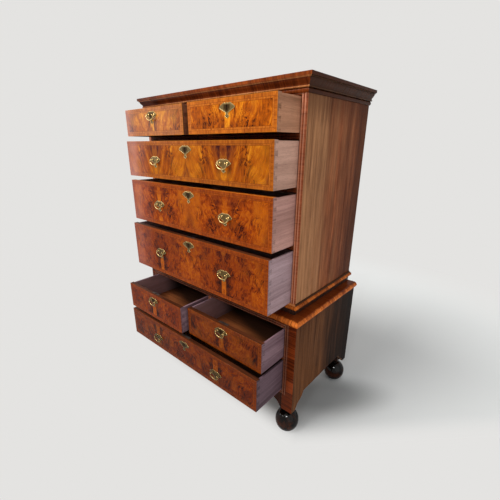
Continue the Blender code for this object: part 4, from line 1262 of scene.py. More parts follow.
class CHEST_OT_lower_case(bpy.types.Operator):
    """Build the lower case: sides with legs, waist board, rails, apron and back"""

    bl_idname = "chest.lower_case"
    bl_label = "Lower case"

    def execute(self, context):
        self.build_side(-1, "left")
        self.build_side(1, "right")
        self.build_waist(context.scene.chest_sizes.moulding_steps)
        self.build_bottom_rail()
        beaded_rail("lower_rail", LOWER_FRONT)
        beaded_divider("lower_divider", LOWER_FRONT)
        dress("lower_back_boards", "lower_boards")
        return {"FINISHED"}

    def build_side(self, side, word):
        """A panel on legs, its beaded stile, the corner blocks and the drawer guides."""
        shell = Shell()
        inside = LOWER_HALF - PANEL_THICKNESS
        skin = inside + REBATE_WIDTH
        front = LOWER_FRONT + OVERLAP
        front_leg = LOWER_FRONT + SIDE_LEG_WIDTH
        back_leg = CASE_BACK - SIDE_LEG_WIDTH
        notch = LOWER_SILL - DUSTBOARD_THICKNESS - FIT_GAP
        foot_line = [(front, LEG_FOOT)]
        foot_line += bracket_curve(front_leg + BRACKET_FLARE, front_leg)
        foot_line += reversed(bracket_curve(back_leg - BRACKET_FLARE, back_leg))
        foot_line.append((CASE_BACK, LEG_FOOT))
        outer = foot_line + [(CASE_BACK, SIDE_TOP), (front, SIDE_TOP)]
        inner = foot_line + [(CASE_BACK, notch), (BACK_INNER, notch), (BACK_INNER, SIDE_TOP)]
        inner.append((front, SIDE_TOP))
        self.panel(shell, outer, side * skin, side * LOWER_HALF)
        self.panel(shell, inner, side * inside, side * skin)
        self.stile(shell, side)
        # The corner blocks take the dark plinth tone, partly painted shade.
        blocks = (
            (LOWER_INNER + OVERLAP, front, LOWER_FRONT + LEG_BLOCK_DEPTH),
            (LOWER_HALF - LEG_BLOCK_WIDTH, BACK_INNER - LEG_BLOCK_DEPTH, BACK_INNER - OVERLAP),
        )
        joined = side * (inside + OVERLAP)
        for edge, near, far in blocks:
            left, right = sorted((side * edge, joined))
            shell.box((left, near, LEG_FOOT), (right, far, APRON_LEVEL), 4)
        left, right = sorted((side * LOWER_INNER, joined))
        near = LOWER_FRONT + STILE_DEPTH - OVERLAP
        for level in (LOWER_SILL, SHORT_SILL):
            low = (left, near, level - FIT_GAP - DUSTBOARD_THICKNESS)
            shell.box(low, (right, BACK_INNER - FIT_GAP, level + GUIDE_HEIGHT), 3)
        materials = ("lower_side_walnut", "lower_bead_walnut", "stile_walnut")
        materials += ("carcass_oak", "plinth_walnut")
        shell.piece("lower_side_%s_veneered" % word, materials, CASE, "side_walnut", "lower_side_" + word)

    def panel(self, shell, outline, start, end):
        """One layer of the side, veneered where it faces outwards."""
        before = set(shell.shape.faces)
        shell.prism(outline, "X", start, end, 3, 3)
        for face in set(shell.shape.faces) - before:
            middle = face.calc_center_median()
            if len(face.verts) > 4 and abs(abs(middle.x) - LOWER_HALF) < NEAR_PLACE:
                face.material_index = 0

    def stile(self, shell, side):
        """The upright in front of the side, plain on the leg and beaded above it."""
        bead_end = LOWER_SILL - FIT_GAP - 2 * BEAD_WIDTH
        behind = LOWER_FRONT + STILE_DEPTH
        lap = LOWER_FRONT + 0.0020
        hidden = LOWER_HALF - 0.0004
        corner = front_corner(LOWER_HALF, LOWER_FRONT)
        plain = ([(LOWER_INNER, 0.0)], LEG_FOOT, bead_end)
        beaded = (beads(LOWER_INNER, 2 * BEAD_WIDTH), bead_end, SIDE_TOP)
        for plan, start, end in (plain, beaded):
            outline = [(along, LOWER_FRONT - height) for along, height in plan] + corner
            outline += [(hidden, lap), (hidden, behind), (LOWER_INNER, behind)]
            parts = [1] * (len(plan) - 1) + [2] * 5 + [0, 3, 3, 3]
            outline = [(side * across, depth) for across, depth in outline]
            shell.prism(outline, "Z", start, end, parts, 3)

    def build_waist(self, steps):
        """The crossbanded frame and inner board of the waist, and the beaded rail under it."""
        reach = WAIST_OVERHANG
        foot = WAIST_FOOT
        fillet = reach - 0.006
        crown = foot + 0.018
        profile = [(-WAIST_FRAME_WIDTH, foot), (0.0, foot), (fillet, foot), (fillet, foot + 0.003)]
        profile += arc((reach - 0.008, foot + 0.011), 0.008, 0.008, -80, 60, steps)
        profile += arc((reach - 0.018, crown), 0.014, WAIST_TOP - crown, 30, 90, steps // 2)
        profile.append((-WAIST_FRAME_WIDTH, WAIST_TOP))
        parts = [1] * 2 + [0] * (len(profile) - 3) + [1]
        shell = Shell()
        shell.frame_run(profile, LOWER_HALF, LOWER_FRONT, parts, 1)
        inner = LOWER_HALF - WAIST_FRAME_WIDTH
        sunk = WAIST_TOP - 0.0005
        low = (-inner, LOWER_FRONT + WAIST_FRAME_WIDTH, foot + OVERLAP)
        shell.box(low, (inner, CASE_BACK, sunk), 1)
        section = bead_section(LOWER_FRONT, TOP_RAIL_FOOT, 2 * BEAD_WIDTH)
        parts = [2] * len(section) + [1] * 3
        behind = LOWER_FRONT + RAIL_DEPTH
        section += [(LOWER_FRONT, foot), (behind, foot), (behind, TOP_RAIL_FOOT)]
        shell.prism(section, "X", -LOWER_REACH, LOWER_REACH, parts, 1)
        materials = ("waist_walnut", "pine_across", "lower_bead_walnut")
        slot_name = "crossbanded_walnut"
        shell.piece("waist_board_moulded", materials, CASE, slot_name, "lower_top_board", angle=28.0)

    def build_bottom_rail(self):
        """The dustboard, the shaped apron and the beads along the sill."""
        sill = LOWER_SILL - FIT_GAP
        start = sill - 2 * BEAD_WIDTH
        behind = LOWER_FRONT + STILE_DEPTH
        ear = LOWER_HALF - LEG_WIDTH
        shell = Shell()
        low = (-LOWER_REACH, behind, sill - DUSTBOARD_THICKNESS)
        shell.box(low, (LOWER_REACH, BACK_INNER, sill), 1)
        outline = [(-LOWER_REACH, LEG_FOOT)]
        outline += bracket_curve(-ear + BRACKET_FLARE, -ear)
        outline += reversed(bracket_curve(ear - BRACKET_FLARE, ear))
        outline += [(LOWER_REACH, LEG_FOOT), (LOWER_REACH, sill), (-LOWER_REACH, sill)]
        shell.prism(outline, "Y", LOWER_FRONT, behind, 1, 0)
        section = bead_section(LOWER_FRONT, start, 2 * BEAD_WIDTH)
        parts = [2] * (len(section) - 1) + [1] * 3
        section += [(LOWER_FRONT + OVERLAP, sill), (LOWER_FRONT + OVERLAP, start)]
        shell.prism(section, "X", -LOWER_REACH, LOWER_REACH, parts, 1)
        materials = ("apron_walnut", "carcass_oak", "lower_bead_walnut")
        shell.piece("apron_shaped", materials, CASE, "crossbanded_walnut", "bottom_rail")


class CHEST_OT_feet(bpy.types.Operator):
    """Turn the four ball feet"""

    bl_idname = "chest.feet"
    bl_label = "Ball feet"

    def execute(self, context):
        segments = context.scene.chest_sizes.foot_segments
        for node in NODES:
            if node.startswith("ball_foot"):
                low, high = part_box(node)
                centre = (low + high) / 2
                placing = Matrix.Translation((centre.x, centre.y, 0.0))
                shell = Shell()
                shell.lathe(self.profile((high.x - low.x) / 2, high.z), segments, placing)
                shell.piece(node + "_turned", ("foot_ebony",), CASE, "ebonised_wood", node, angle=40.0)
        return {"FINISHED"}

    def profile(self, radius, height):
        """A near-spherical ball with a flat to stand on, a groove and a short coved neck."""
        flat = 0.024
        neck = 0.019
        ball_top = height - 0.016
        low_turn = math.acos(flat / radius)
        high_turn = math.acos(neck / radius)
        rise = ball_top / (math.sin(low_turn) + math.sin(high_turn))
        centre = (0.0, rise * math.sin(low_turn))
        points = [(flat - 0.002, 0.0)]
        points += arc(centre, radius, rise, -math.degrees(low_turn), math.degrees(high_turn), 56)
        for drawn_in, above in ((0.0015, 0.001), (0.002, 0.004), (0.001, 0.008), (0.0, 0.010)):
            points.append((neck - drawn_in, ball_top + above))
        points.append((neck, height))
        return points


def welded_copy(node):
    """A CAD node's loose triangles, joined into whole faces."""
    shape = bmesh.new()
    shape.from_mesh(NODES[node].data)
    bmesh.ops.remove_doubles(shape, verts=shape.verts, dist=0.00001)
    limit = math.radians(1.0)
    bmesh.ops.dissolve_limit(shape, angle_limit=limit, verts=shape.verts, edges=shape.edges)
    return shape


class CHEST_OT_drawers(bpy.types.Operator):
    """Veneer the drawer fronts and line the drawer boxes with oak"""

    bl_idname = "chest.drawers"
    bl_label = "Drawers"

    def execute(self, context):
        for drawer, (seed, burr, tint_and_shade, painted_left_sheen, light, dark) in FRONTS.items():
            front = drawer + "_front"
            low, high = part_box(front)
            middle = (low.x + high.x) / 2
            short = "left" in drawer or "right" in drawer
            matches = (middle, 0.0) if short else (0.0, LONG_HANDLE_REACH)
            front_veneer(drawer + "_veneer", front, matches, seed, burr, tint_and_shade, painted_left_sheen)
            self.mix_linings(drawer, tones(light, dark), low, high)
            self.build_front(drawer, context.scene.chest_sizes.edge_round)
            self.build_box(drawer)
        return {"FINISHED"}

    def mix_linings(self, drawer, oak, low, high):
        """The oak of one drawer, browner on its bottom and darker on the ends of its front."""
        walls = None
        floor = None
        # In the lower drawers the inner faces get painted light, and painted shade far inside.
        if drawer in LOWER_DRAWERS:
            half = (high.x - low.x) / 2 - DRAWER_SIDE_THICKNESS
            shade_start = high.y + 0.11
            inner_part = ((low.x + high.x) / 2, half, shade_start)
            walls = (*inner_part, 0.42)
            floor = (*inner_part, 0.0)
        grain = {"Bands": 48.0, "Pores": 0.5, "Contrast": 0.85}
        bottom = tones((182, 106, 58), (106, 58, 32))
        end_share = 0.76
        ends = [tuple(end_share * value for value in colour) for colour in oak]
        plain_wood(drawer + "_oak_along", "Y", oak, grain, 0.62, 0.0004, 0.16, walls)
        plain_wood(drawer + "_oak_across", "X", oak, grain, 0.62, 0.0004, 0.16, walls)
        grain = {"Bands": 34.0, "Pores": 0.5}
        plain_wood(drawer + "_bottom_oak", "X", bottom, grain, 0.64, 0.0005, 0.10, floor)
        plain_wood(drawer + "_ends", "Y", ends, {"Bands": 170.0}, 0.60, 0.0004, 0.12)

    def build_front(self, drawer, ease):
        """The front with its dovetailed ends, eased round its face."""
        node = drawer + "_front"
        low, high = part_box(node)
        shape = welded_copy(node)
        rim = []
        for edge in shape.edges:
            if all(abs(corner.co.y - low.y) < SAME_PLACE for corner in edge.verts):
                rim.append(edge)
        ease_edges(shape, rim, ease, segments=3)
        for face in shape.faces:
            middle = face.calc_center_median()
            if middle.y < low.y + ease * 1.05:
                face.material_index = 0
            elif min(middle.z - low.z, high.z - middle.z) < 2 * SAME_PLACE:
                face.material_index = 1
            elif min(middle.x - low.x, high.x - middle.x) < 2 * SAME_PLACE:
                face.material_index = 2
            else:
                face.material_index = 3
        edge = "lower_edge_walnut" if drawer in DULL_EDGED else "edge_walnut"
        materials = (drawer + "_veneer", edge, drawer + "_ends", drawer + "_bottom_oak")
        name = node + "_veneered"
        mesh = close_shape(shape, name, angle=5.0)
        new_piece(name, mesh, materials, drawer, "figured_walnut", node)

    def build_box(self, drawer):
        """The box, with the top edges of its sides rounded."""
        node = drawer + "_box"
        low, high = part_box(node)
        shape = welded_copy(node)
        top_round = 0.0018
        least_run = 0.10
        tops = []
        for edge in shape.edges:
            level = all(abs(corner.co.z - high.z) < SAME_PLACE for corner in edge.verts)
            run = edge.verts[1].co - edge.verts[0].co
            if level and abs(run.y) > least_run:
                tops.append(edge)
        ease_edges(shape, tops, top_round, segments=3)
        for face in shape.faces:
            middle = face.calc_center_median()
            if min(middle.x - low.x, high.x - middle.x) < DRAWER_SIDE_THICKNESS + NEAR_PLACE:
                face.material_index = 0
            elif middle.z < low.z + DRAWER_BOTTOM_TOP + NEAR_PLACE:
                face.material_index = 1
            else:
                face.material_index = 2
        materials = (drawer + "_oak_along", drawer + "_bottom_oak", drawer + "_oak_across")
        name = node + "_lined"
        mesh = close_shape(shape, name, angle=5.0)
        new_piece(name, mesh, materials, drawer, "oak", node)


def plate_outline():
    """Bat-wing plate with a waisted tail, as (x, z, is it a point) about the middle of its posts."""
    right = [
        (0.0, 0.0180, True),
        (0.0035, 0.0150, False),
        (0.0075, 0.0150, False),
        (0.0110, 0.0168, True),
        (0.0180, 0.0160, False),
        (0.0250, 0.0120, True),
        (0.0300, 0.0100, False),
        (0.0350, 0.0062, False),
        (0.0410, 0.0010, True),
        (0.0375, -0.0030, False),
        (0.0320, -0.0068, True),
        (0.0260, -0.0082, False),
        (0.0205, -0.0120, True),
        (0.0135, -0.0142, False),
        (0.0080, -0.0180, False),
        (0.0060, -0.0225, False),
        (0.0095, -0.0270, False),
        (0.0110, -0.0300, True),
        (0.0060, -0.0330, False),
        (0.0, -0.0370, True),
    ]
    return right + [(-across, level, point) for across, level, point in reversed(right[1:-1])]


def smooth_outline(marks, steps=4):
    """A curve through the marks that bends gently and keeps its points."""
    places = [Vector(mark[:2]) for mark in marks]
    count = len(places)
    curve = []
    for index in range(count):
        start = places[index]
        end = places[(index + 1) % count]
        before = start if marks[index][2] else places[index - 1]
        after = end if marks[(index + 1) % count][2] else places[(index + 2) % count]
        pull = 2 * before - 5 * start + 4 * end - after
        turn = 3 * start - before - 3 * end + after
        for t in [step / steps for step in range(steps)]:
            curve.append(0.5 * (2 * start + (end - before) * t + pull * t * t + turn * t ** 3))
    return curve


def distance_to(outline, place):
    """How far a place is from a closed outline."""
    nearest = 1.0
    for start, end in pairs_round(outline):
        side = end - start
        share = max(0.0, min(1.0, (place - start).dot(side) / side.length_squared))
        nearest = min(nearest, (place - start - side * share).length)
    return nearest


def inside(outline, place):
    """Whether a place lies inside a closed outline."""
    within = False
    for start, end in pairs_round(outline):
        if (start.y > place.y) != (end.y > place.y):
            cross = start.x + (place.y - start.y) * (end.x - start.x) / (end.y - start.y)
            if cross > place.x:
                within = not within
    return within


def keyhole_outline():
    """A round eye over a straight slot."""
    radius = 0.0034
    points = [Vector(place) for place in arc((0.0, 0.0045), radius, radius, -60, 240, 14)]
    return points + [Vector((-0.0021, -0.0085)), Vector((0.0021, -0.0085))]


# Height of a plate's face at each distance from its edge
RELIEF = (
    (0.0, 0.0008),
    (0.0005, 0.0014),
    (0.0016, 0.0016),
    (0.0022, 0.0012),
    (0.0027, 0.0012),
    (0.0034, 0.0016),
)

# Where the groove, the dark ground and the pale line in it lie from the edge, and how brown they are
GROOVE_PLACE = 0.00245
GROOVE_HALF = 0.0010
GROUND_START = 0.0030
GROUND_TARNISH = 0.80
LINE_PLACE = 0.0047
LINE_HALF = 0.0004
LINE_TARNISH = 0.30
EDGE_WIDTH = 0.0003

# How far the points of the face keep from a keyhole, and how it sinks and darkens towards it
HOLE_MARGIN = 0.0004
HOLE_DEPTH = 0.0003
HOLE_SLOPE = 0.6
HOLE_DARK_REACH = 0.0016


def relief_at(away):
    """Height of a plate's face at a distance from its edge."""
    for (near, low), (far, high) in zip(RELIEF, RELIEF[1:]):
        if near <= away < far:
            return low + (high - low) * (away - near) / (far - near)
    return RELIEF[-1][1]


def tarnish_at(away):
    """How brown the groove, the ground and the edge make the brass at a distance from the edge."""
    groove = 1.0 - abs(away - GROOVE_PLACE) / GROOVE_HALF
    edge = 0.5 - 0.5 * away / EDGE_WIDTH
    ground = GROUND_TARNISH if away > GROUND_START else 0.0
    if abs(away - LINE_PLACE) < LINE_HALF:
        ground = LINE_TARNISH
    return groove, ground, edge


def plate_face(outline, hole):
    """The moulded face of a plate: its points with their relief and tarnish, and its triangles."""
    places = outline + hole
    first = len(outline)
    nearness = 0.93
    rim = list(pairs_round(range(first)))
    if hole:
        rim += pairs_round(range(first, len(places)))
    for away, height in RELIEF[1:]:
        for index, place in enumerate(outline):
            along = outline[(index + 1) % first] - outline[index - 1]
            moved = place + Vector((along.y, -along.x)).normalized() * away
            if inside(outline, moved) and distance_to(outline, moved) > away * nearness:
                if not hole or distance_to(hole, moved) > HOLE_MARGIN and not inside(hole, moved):
                    places.append(moved)
    made, unused, triangles, *unused = delaunay_2d_cdt(places, rim, [], 0, 0.000001)
    kept = []
    for triangle in triangles:
        middle = sum((made[corner] for corner in triangle), Vector((0.0, 0.0))) / 3
        if inside(outline, middle) and not (hole and inside(hole, middle)):
            kept.append(triangle)
    reliefs = []
    for place in made:
        away = distance_to(outline, place)
        height = relief_at(away)
        groove, ground, edge = tarnish_at(away)
        if hole:
            from_hole = distance_to(hole, place)
            height -= max(0.0, HOLE_DEPTH - from_hole * HOLE_SLOPE)
            ground += max(0.0, 0.5 - from_hole / HOLE_DARK_REACH)
        reliefs.append((height, max(0.0, groove, ground, edge)))
    return made, reliefs, kept


class CastPlate:
    """The pattern from which every bat-wing plate is cast."""

    def __init__(self, with_keyhole):
        self.outline = smooth_outline(plate_outline())
        self.hole = keyhole_outline() if with_keyhole else []
        self.places, self.reliefs, self.triangles = plate_face(self.outline, self.hole)

    def cast(self, shell, centre):
        """Add one plate whose back lies at the centre's y."""
        recess = shell.shape.verts.layers.float["recess"]

        def corner(place, height, mark):
            made = shell.shape.verts.new(centre + Vector((place[0], -height, place[1])))
            made[recess] = mark
            return made

        def close(corners, part=0):
            shell.quad(corners, [(0.0, 0.0)] * len(corners), part)

        face = [corner(place, *relief) for place, relief in zip(self.places, self.reliefs)]
        back = [corner(place, 0.0, 0.6) for place in self.outline]
        depth = [corner(place, HOLE_DEPTH, 1.0) for place in self.hole]
        count = len(back)
        for triangle in self.triangles:
            close([face[index] for index in triangle])
        close(back)
        for rim, far in ((face[:count], back), (face[count:count + len(depth)], depth)):
            for index in range(len(far)):
                close((rim[index - 1], rim[index], far[index], far[index - 1]))
        # The bottom of the keyhole takes the painted black shade.
        if depth:
            close(depth, 1)


def start_brass():
    shell = Shell()
    shell.shape.verts.layers.float.new("recess")
    return shell


class CHEST_OT_handles(bpy.types.Operator):
    """Cast the bat-wing plates with their posts and keyholes, and bend the bails"""

    bl_idname = "chest.handles"
    bl_label = "Handles and lock plates"

    def execute(self, context):
        plain = CastPlate(False)
        keyed = CastPlate(True)
        for node in sorted(NODES):
            if "_plate" in node:
                drawer = node.split("_plate")[0]
                low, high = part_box(node)
                centre = Vector(((low.x + high.x) / 2, high.y, high.z - PLATE_RISE))
                shell = start_brass()
                pattern = keyed if drawer in KEYED_DRAWERS else plain
                pattern.cast(shell, centre)
                for side in (-1, 1):
                    self.add_post(shell, centre + Vector((side * POST_SPACING / 2, 0.0, 0.0)), low.y)
                shell.piece(node + "_cast", BRASS, drawer, "brass", node, angle=38.0)
        for drawer, across, drop in LOCK_PLATES:
            low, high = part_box(drawer + "_front")
            shell = start_brass()
            keyed.cast(shell, Vector((across, low.y - FIT_GAP, high.z - drop)))
            shell.piece(drawer + "_lock_plate", BRASS, drawer, "brass", angle=38.0)
        for node in sorted(NODES):
            if "_bail" in node:
                self.bend_bail(node)
        return {"FINISHED"}

    def add_post(self, shell, foot, foremost):
        """A post with a collar at the plate and an eye that holds the pin."""
        axis = foot.y - foremost - POST_HEAD_RADIUS
        collar = PLATE_THICKNESS + 0.0009
        half_width = 0.0031
        profile = [
            (0.0052, PLATE_THICKNESS - 0.0004),
            (0.0052, collar - 0.0004),
            (0.0048, collar),
            (0.0036, collar + 0.0003),
            (0.0029, collar + 0.0009),
            (0.0027, axis - 0.0042),
            (0.0031, axis - 0.0036),
            (0.0027, axis - 0.0030),
        ]
        facing = Matrix.Translation(foot) @ Matrix.Rotation(math.radians(90), 4, "X")
        shell.lathe(profile, POST_SIDES, facing)
        centre = foot + Vector((0.0, -axis, 0.0))
        shell.hoop(centre, PIN_HOLE_RADIUS, POST_HEAD_RADIUS, half_width)

    def bend_bail(self, node):
        """An oval drop whose pins turn in the posts, thickest at its middle."""
        corner_steps = 6
        curve_steps = 28
        swell = BAIL_MIDDLE_RADIUS - BAIL_RADIUS
        collar_height = 0.0005
        collar_turn = 1.22
        collar_width = 0.045
        half = [(POST_SPACING / 2 - PIN_REACH, 0.0, PIN_RADIUS)]
        half.append((BAIL_SHOULDER - 0.0010, 0.0, PIN_RADIUS))
        corner = arc((BAIL_SHOULDER, -BAIL_CORNER), BAIL_CORNER, BAIL_CORNER, 90, 0, corner_steps)
        for step, (across, level) in enumerate(corner):
            radius = PIN_RADIUS + (BAIL_RADIUS - PIN_RADIUS) * step / corner_steps
            half.append((across, level, radius))
        for step in range(1, curve_steps + 1):
            turn = math.pi / 2 * step / curve_steps
            collar = collar_height * math.exp(-((turn - collar_turn) / collar_width) ** 2)
            radius = BAIL_RADIUS + swell * math.sin(turn) ** 2 + collar
            level = -BAIL_CORNER - (BAIL_DROP - BAIL_CORNER) * math.sin(turn)
            half.append((BAIL_REACH * math.cos(turn), level, radius))
        path = half + [(-across, level, radius) for across, level, radius in reversed(half[:-1])]
        shell = start_brass()
        shell.tube(path, HINGES[node + "_hinge"])
        shell.piece(node + "_bent", BRASS, node, "brass", node, angle=40.0)


# Blocks of a lock: half width, near and far from the inner face of the front, foot and head from
# its top edge, and easing. They are the plate, the box behind it and the strip in the top edge.
LOCK_BLOCKS = (
    (0.030, -0.0002, 0.0014, -0.052, 0.0, 0.0003),
    (0.024, 0.0012, 0.0090, -0.046, -0.004, 0.0007),
    (0.030, -0.0100, 0.0010, -0.0012, 0.0005, 0.0002),
)
KEY_PIN = ((0.0045, 0.0), (0.0045, 0.0010), (0.0030, 0.0016), (0.0012, 0.0018))


class CHEST_OT_locks(bpy.types.Operator):
    """Fit an iron lock inside each drawer front"""

    bl_idname = "chest.locks"
    bl_label = "Locks"

    def execute(self, context):
        for drawer in FRONTS:
            low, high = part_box(drawer + "_front")
            across = (low.x + high.x) / 2
            top = high.z - 0.0004
            bolt_top = 0.0008 if drawer == "bottom_drawer" else 0.0005
            bolt = (0.009, -0.0070, -0.0025, -0.0010, bolt_top, 0.0002)
            shell = Shell()
            for half, near, far, foot, head, ease in (*LOCK_BLOCKS, bolt):
                start = (across - half, high.y + near, top + foot)
                shell.box(start, (across + half, high.y + far, top + head), 0, ease)
            pin_foot = high.y + 0.0085
            pin_level = top - 0.026
            placing = Matrix.Translation((across, pin_foot, pin_level))
            shell.lathe(KEY_PIN, POST_SIDES, placing @ Matrix.Rotation(math.radians(-90), 4, "X"))
            shell.piece(drawer + "_lock", ("iron",), drawer, "brass")
        return {"FINISHED"}


def stud_tree():
    """Geometry Nodes that set a small tapered head, facing the back, on every point."""
    tree = bpy.data.node_groups.new("Studs", "GeometryNodeTree")
    kinds = {"Geometry": "Geometry", "Radius": "Float", "Height": "Float", "Sides": "Int"}
    kinds.update({"Turn": "Float", "Finish": "Material"})
    for label, kind in kinds.items():
        tree.interface.new_socket(label, in_out="INPUT", socket_type="NodeSocket" + kind)
    tree.interface.new_socket("Geometry", in_out="OUTPUT", socket_type="NodeSocketGeometry")
    nodes = Nodes(tree)
    given = nodes.outputs(nodes.add("NodeGroupInput"))
    radius = given["Radius"]
    taper = 0.72
    head = {"Vertices": given["Sides"], "Radius Top": radius * taper, "Radius Bottom": radius}
    head["Depth"] = given["Height"]
    cone = nodes.make("GeometryNodeMeshCone", head)
    facing = nodes.combine(math.radians(-90), given["Turn"], 0.0)
    turned = nodes.make("GeometryNodeTransform", {"Geometry": cone, "Rotation": facing})
    placed = {"Points": given["Geometry"], "Instance": turned}
    studs = nodes.make("GeometryNodeInstanceOnPoints", placed)
    whole = nodes.make("GeometryNodeRealizeInstances", {"Geometry": studs})
    coated = nodes.make("GeometryNodeSetMaterial", {"Geometry": whole, "Material": given["Finish"]})
    nodes.add("NodeGroupOutput", {"Geometry": coated})
    return tree


def scatter_studs(name, tree, points, body, **settings):
    """Run the stud tree over a body's points and keep its result as one plain mesh."""
    settings["Finish"] = bpy.data.materials["iron"]
    mesh = bpy.data.meshes.new(name + "_points")
    mesh.from_pydata(points, [], [])
    thing = bpy.data.objects.new(name + "_points", mesh)
    bpy.context.scene.collection.objects.link(thing)
    modifier = thing.modifiers.new("Studs", "NODES")
    modifier.node_group = tree
    for item in tree.interface.items_tree:
        if item.in_out == "INPUT" and item.name in settings:
            modifier[item.identifier] = settings[item.name]
    graph = bpy.context.evaluated_depsgraph_get()
    made = bpy.data.meshes.new_from_object(thing.evaluated_get(graph))
    thing.modifiers.remove(modifier)
    bpy.data.objects.remove(thing, do_unlink=True)
    made.name = name
    new_piece(name, made, ("iron",), body, "brass")


class CHEST_OT_fixings(bpy.types.Operator):
    """Drive the nails of the back boards and screw the nuts behind the handles"""

    bl_idname = "chest.fixings"
    bl_label = "Nails and nuts"

    def execute(self, context):
        sizes = context.scene.chest_sizes
        tree = stud_tree()
        members = ("upper_bottom_board", "upper_rail_3", "upper_rail_2", "upper_rail_1")
        points = self.nail_places("upper", members)
        points += self.nail_places("lower", ("bottom_rail", "lower_rail"))
        nails = {"Radius": sizes.nail_head, "Height": 0.0009, "Sides": 9, "Turn": 0.0}
        to_corner = sizes.nut_radius * 1.41
        nuts = {"Radius": to_corner, "Height": 0.0034, "Sides": 4, "Turn": 0.0}
        scatter_studs("back_board_nails", tree, points, CASE, **nails)
        for drawer in FRONTS:
            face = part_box(drawer + "_front")[1].y
            points = []
            for node in sorted(NODES):
                if node.startswith(drawer + "_plate"):
                    low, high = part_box(node)
                    for side in (-1, 1):
                        across = (low.x + high.x) / 2 + side * POST_SPACING / 2
                        points.append((across, face, high.z - PLATE_RISE))
            if points:
                scatter_studs(drawer + "_nuts", tree, points, drawer, **nuts)
        return {"FINISHED"}

    def nail_places(self, case, members):
        """Two nails in each board at each member that holds it, a little out of line."""
        from_top = 0.012
        most_wander = 0.004
        low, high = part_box(case + "_back_boards")
        heights = [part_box(member)[1].z - DUSTBOARD_THICKNESS / 2 for member in members]
        heights.append(high.z - from_top)
        pitch = (high.x - low.x) / BACK_BOARD_COUNT
        points = []
        for board in range(BACK_BOARD_COUNT):
            for share in (0.22, 0.78):
                for row, height in enumerate(heights):
                    wander = most_wander * math.sin(7.3 * board + 3.1 * row + 11.0 * share)
                    across = low.x + pitch * (board + share) + wander
                    points.append((across, high.y - 0.0001, height + wander / 2))
        return points


def add_object(name, data):
    thing = bpy.data.objects.new(name, data)
    bpy.context.scene.collection.objects.link(thing)
    return thing


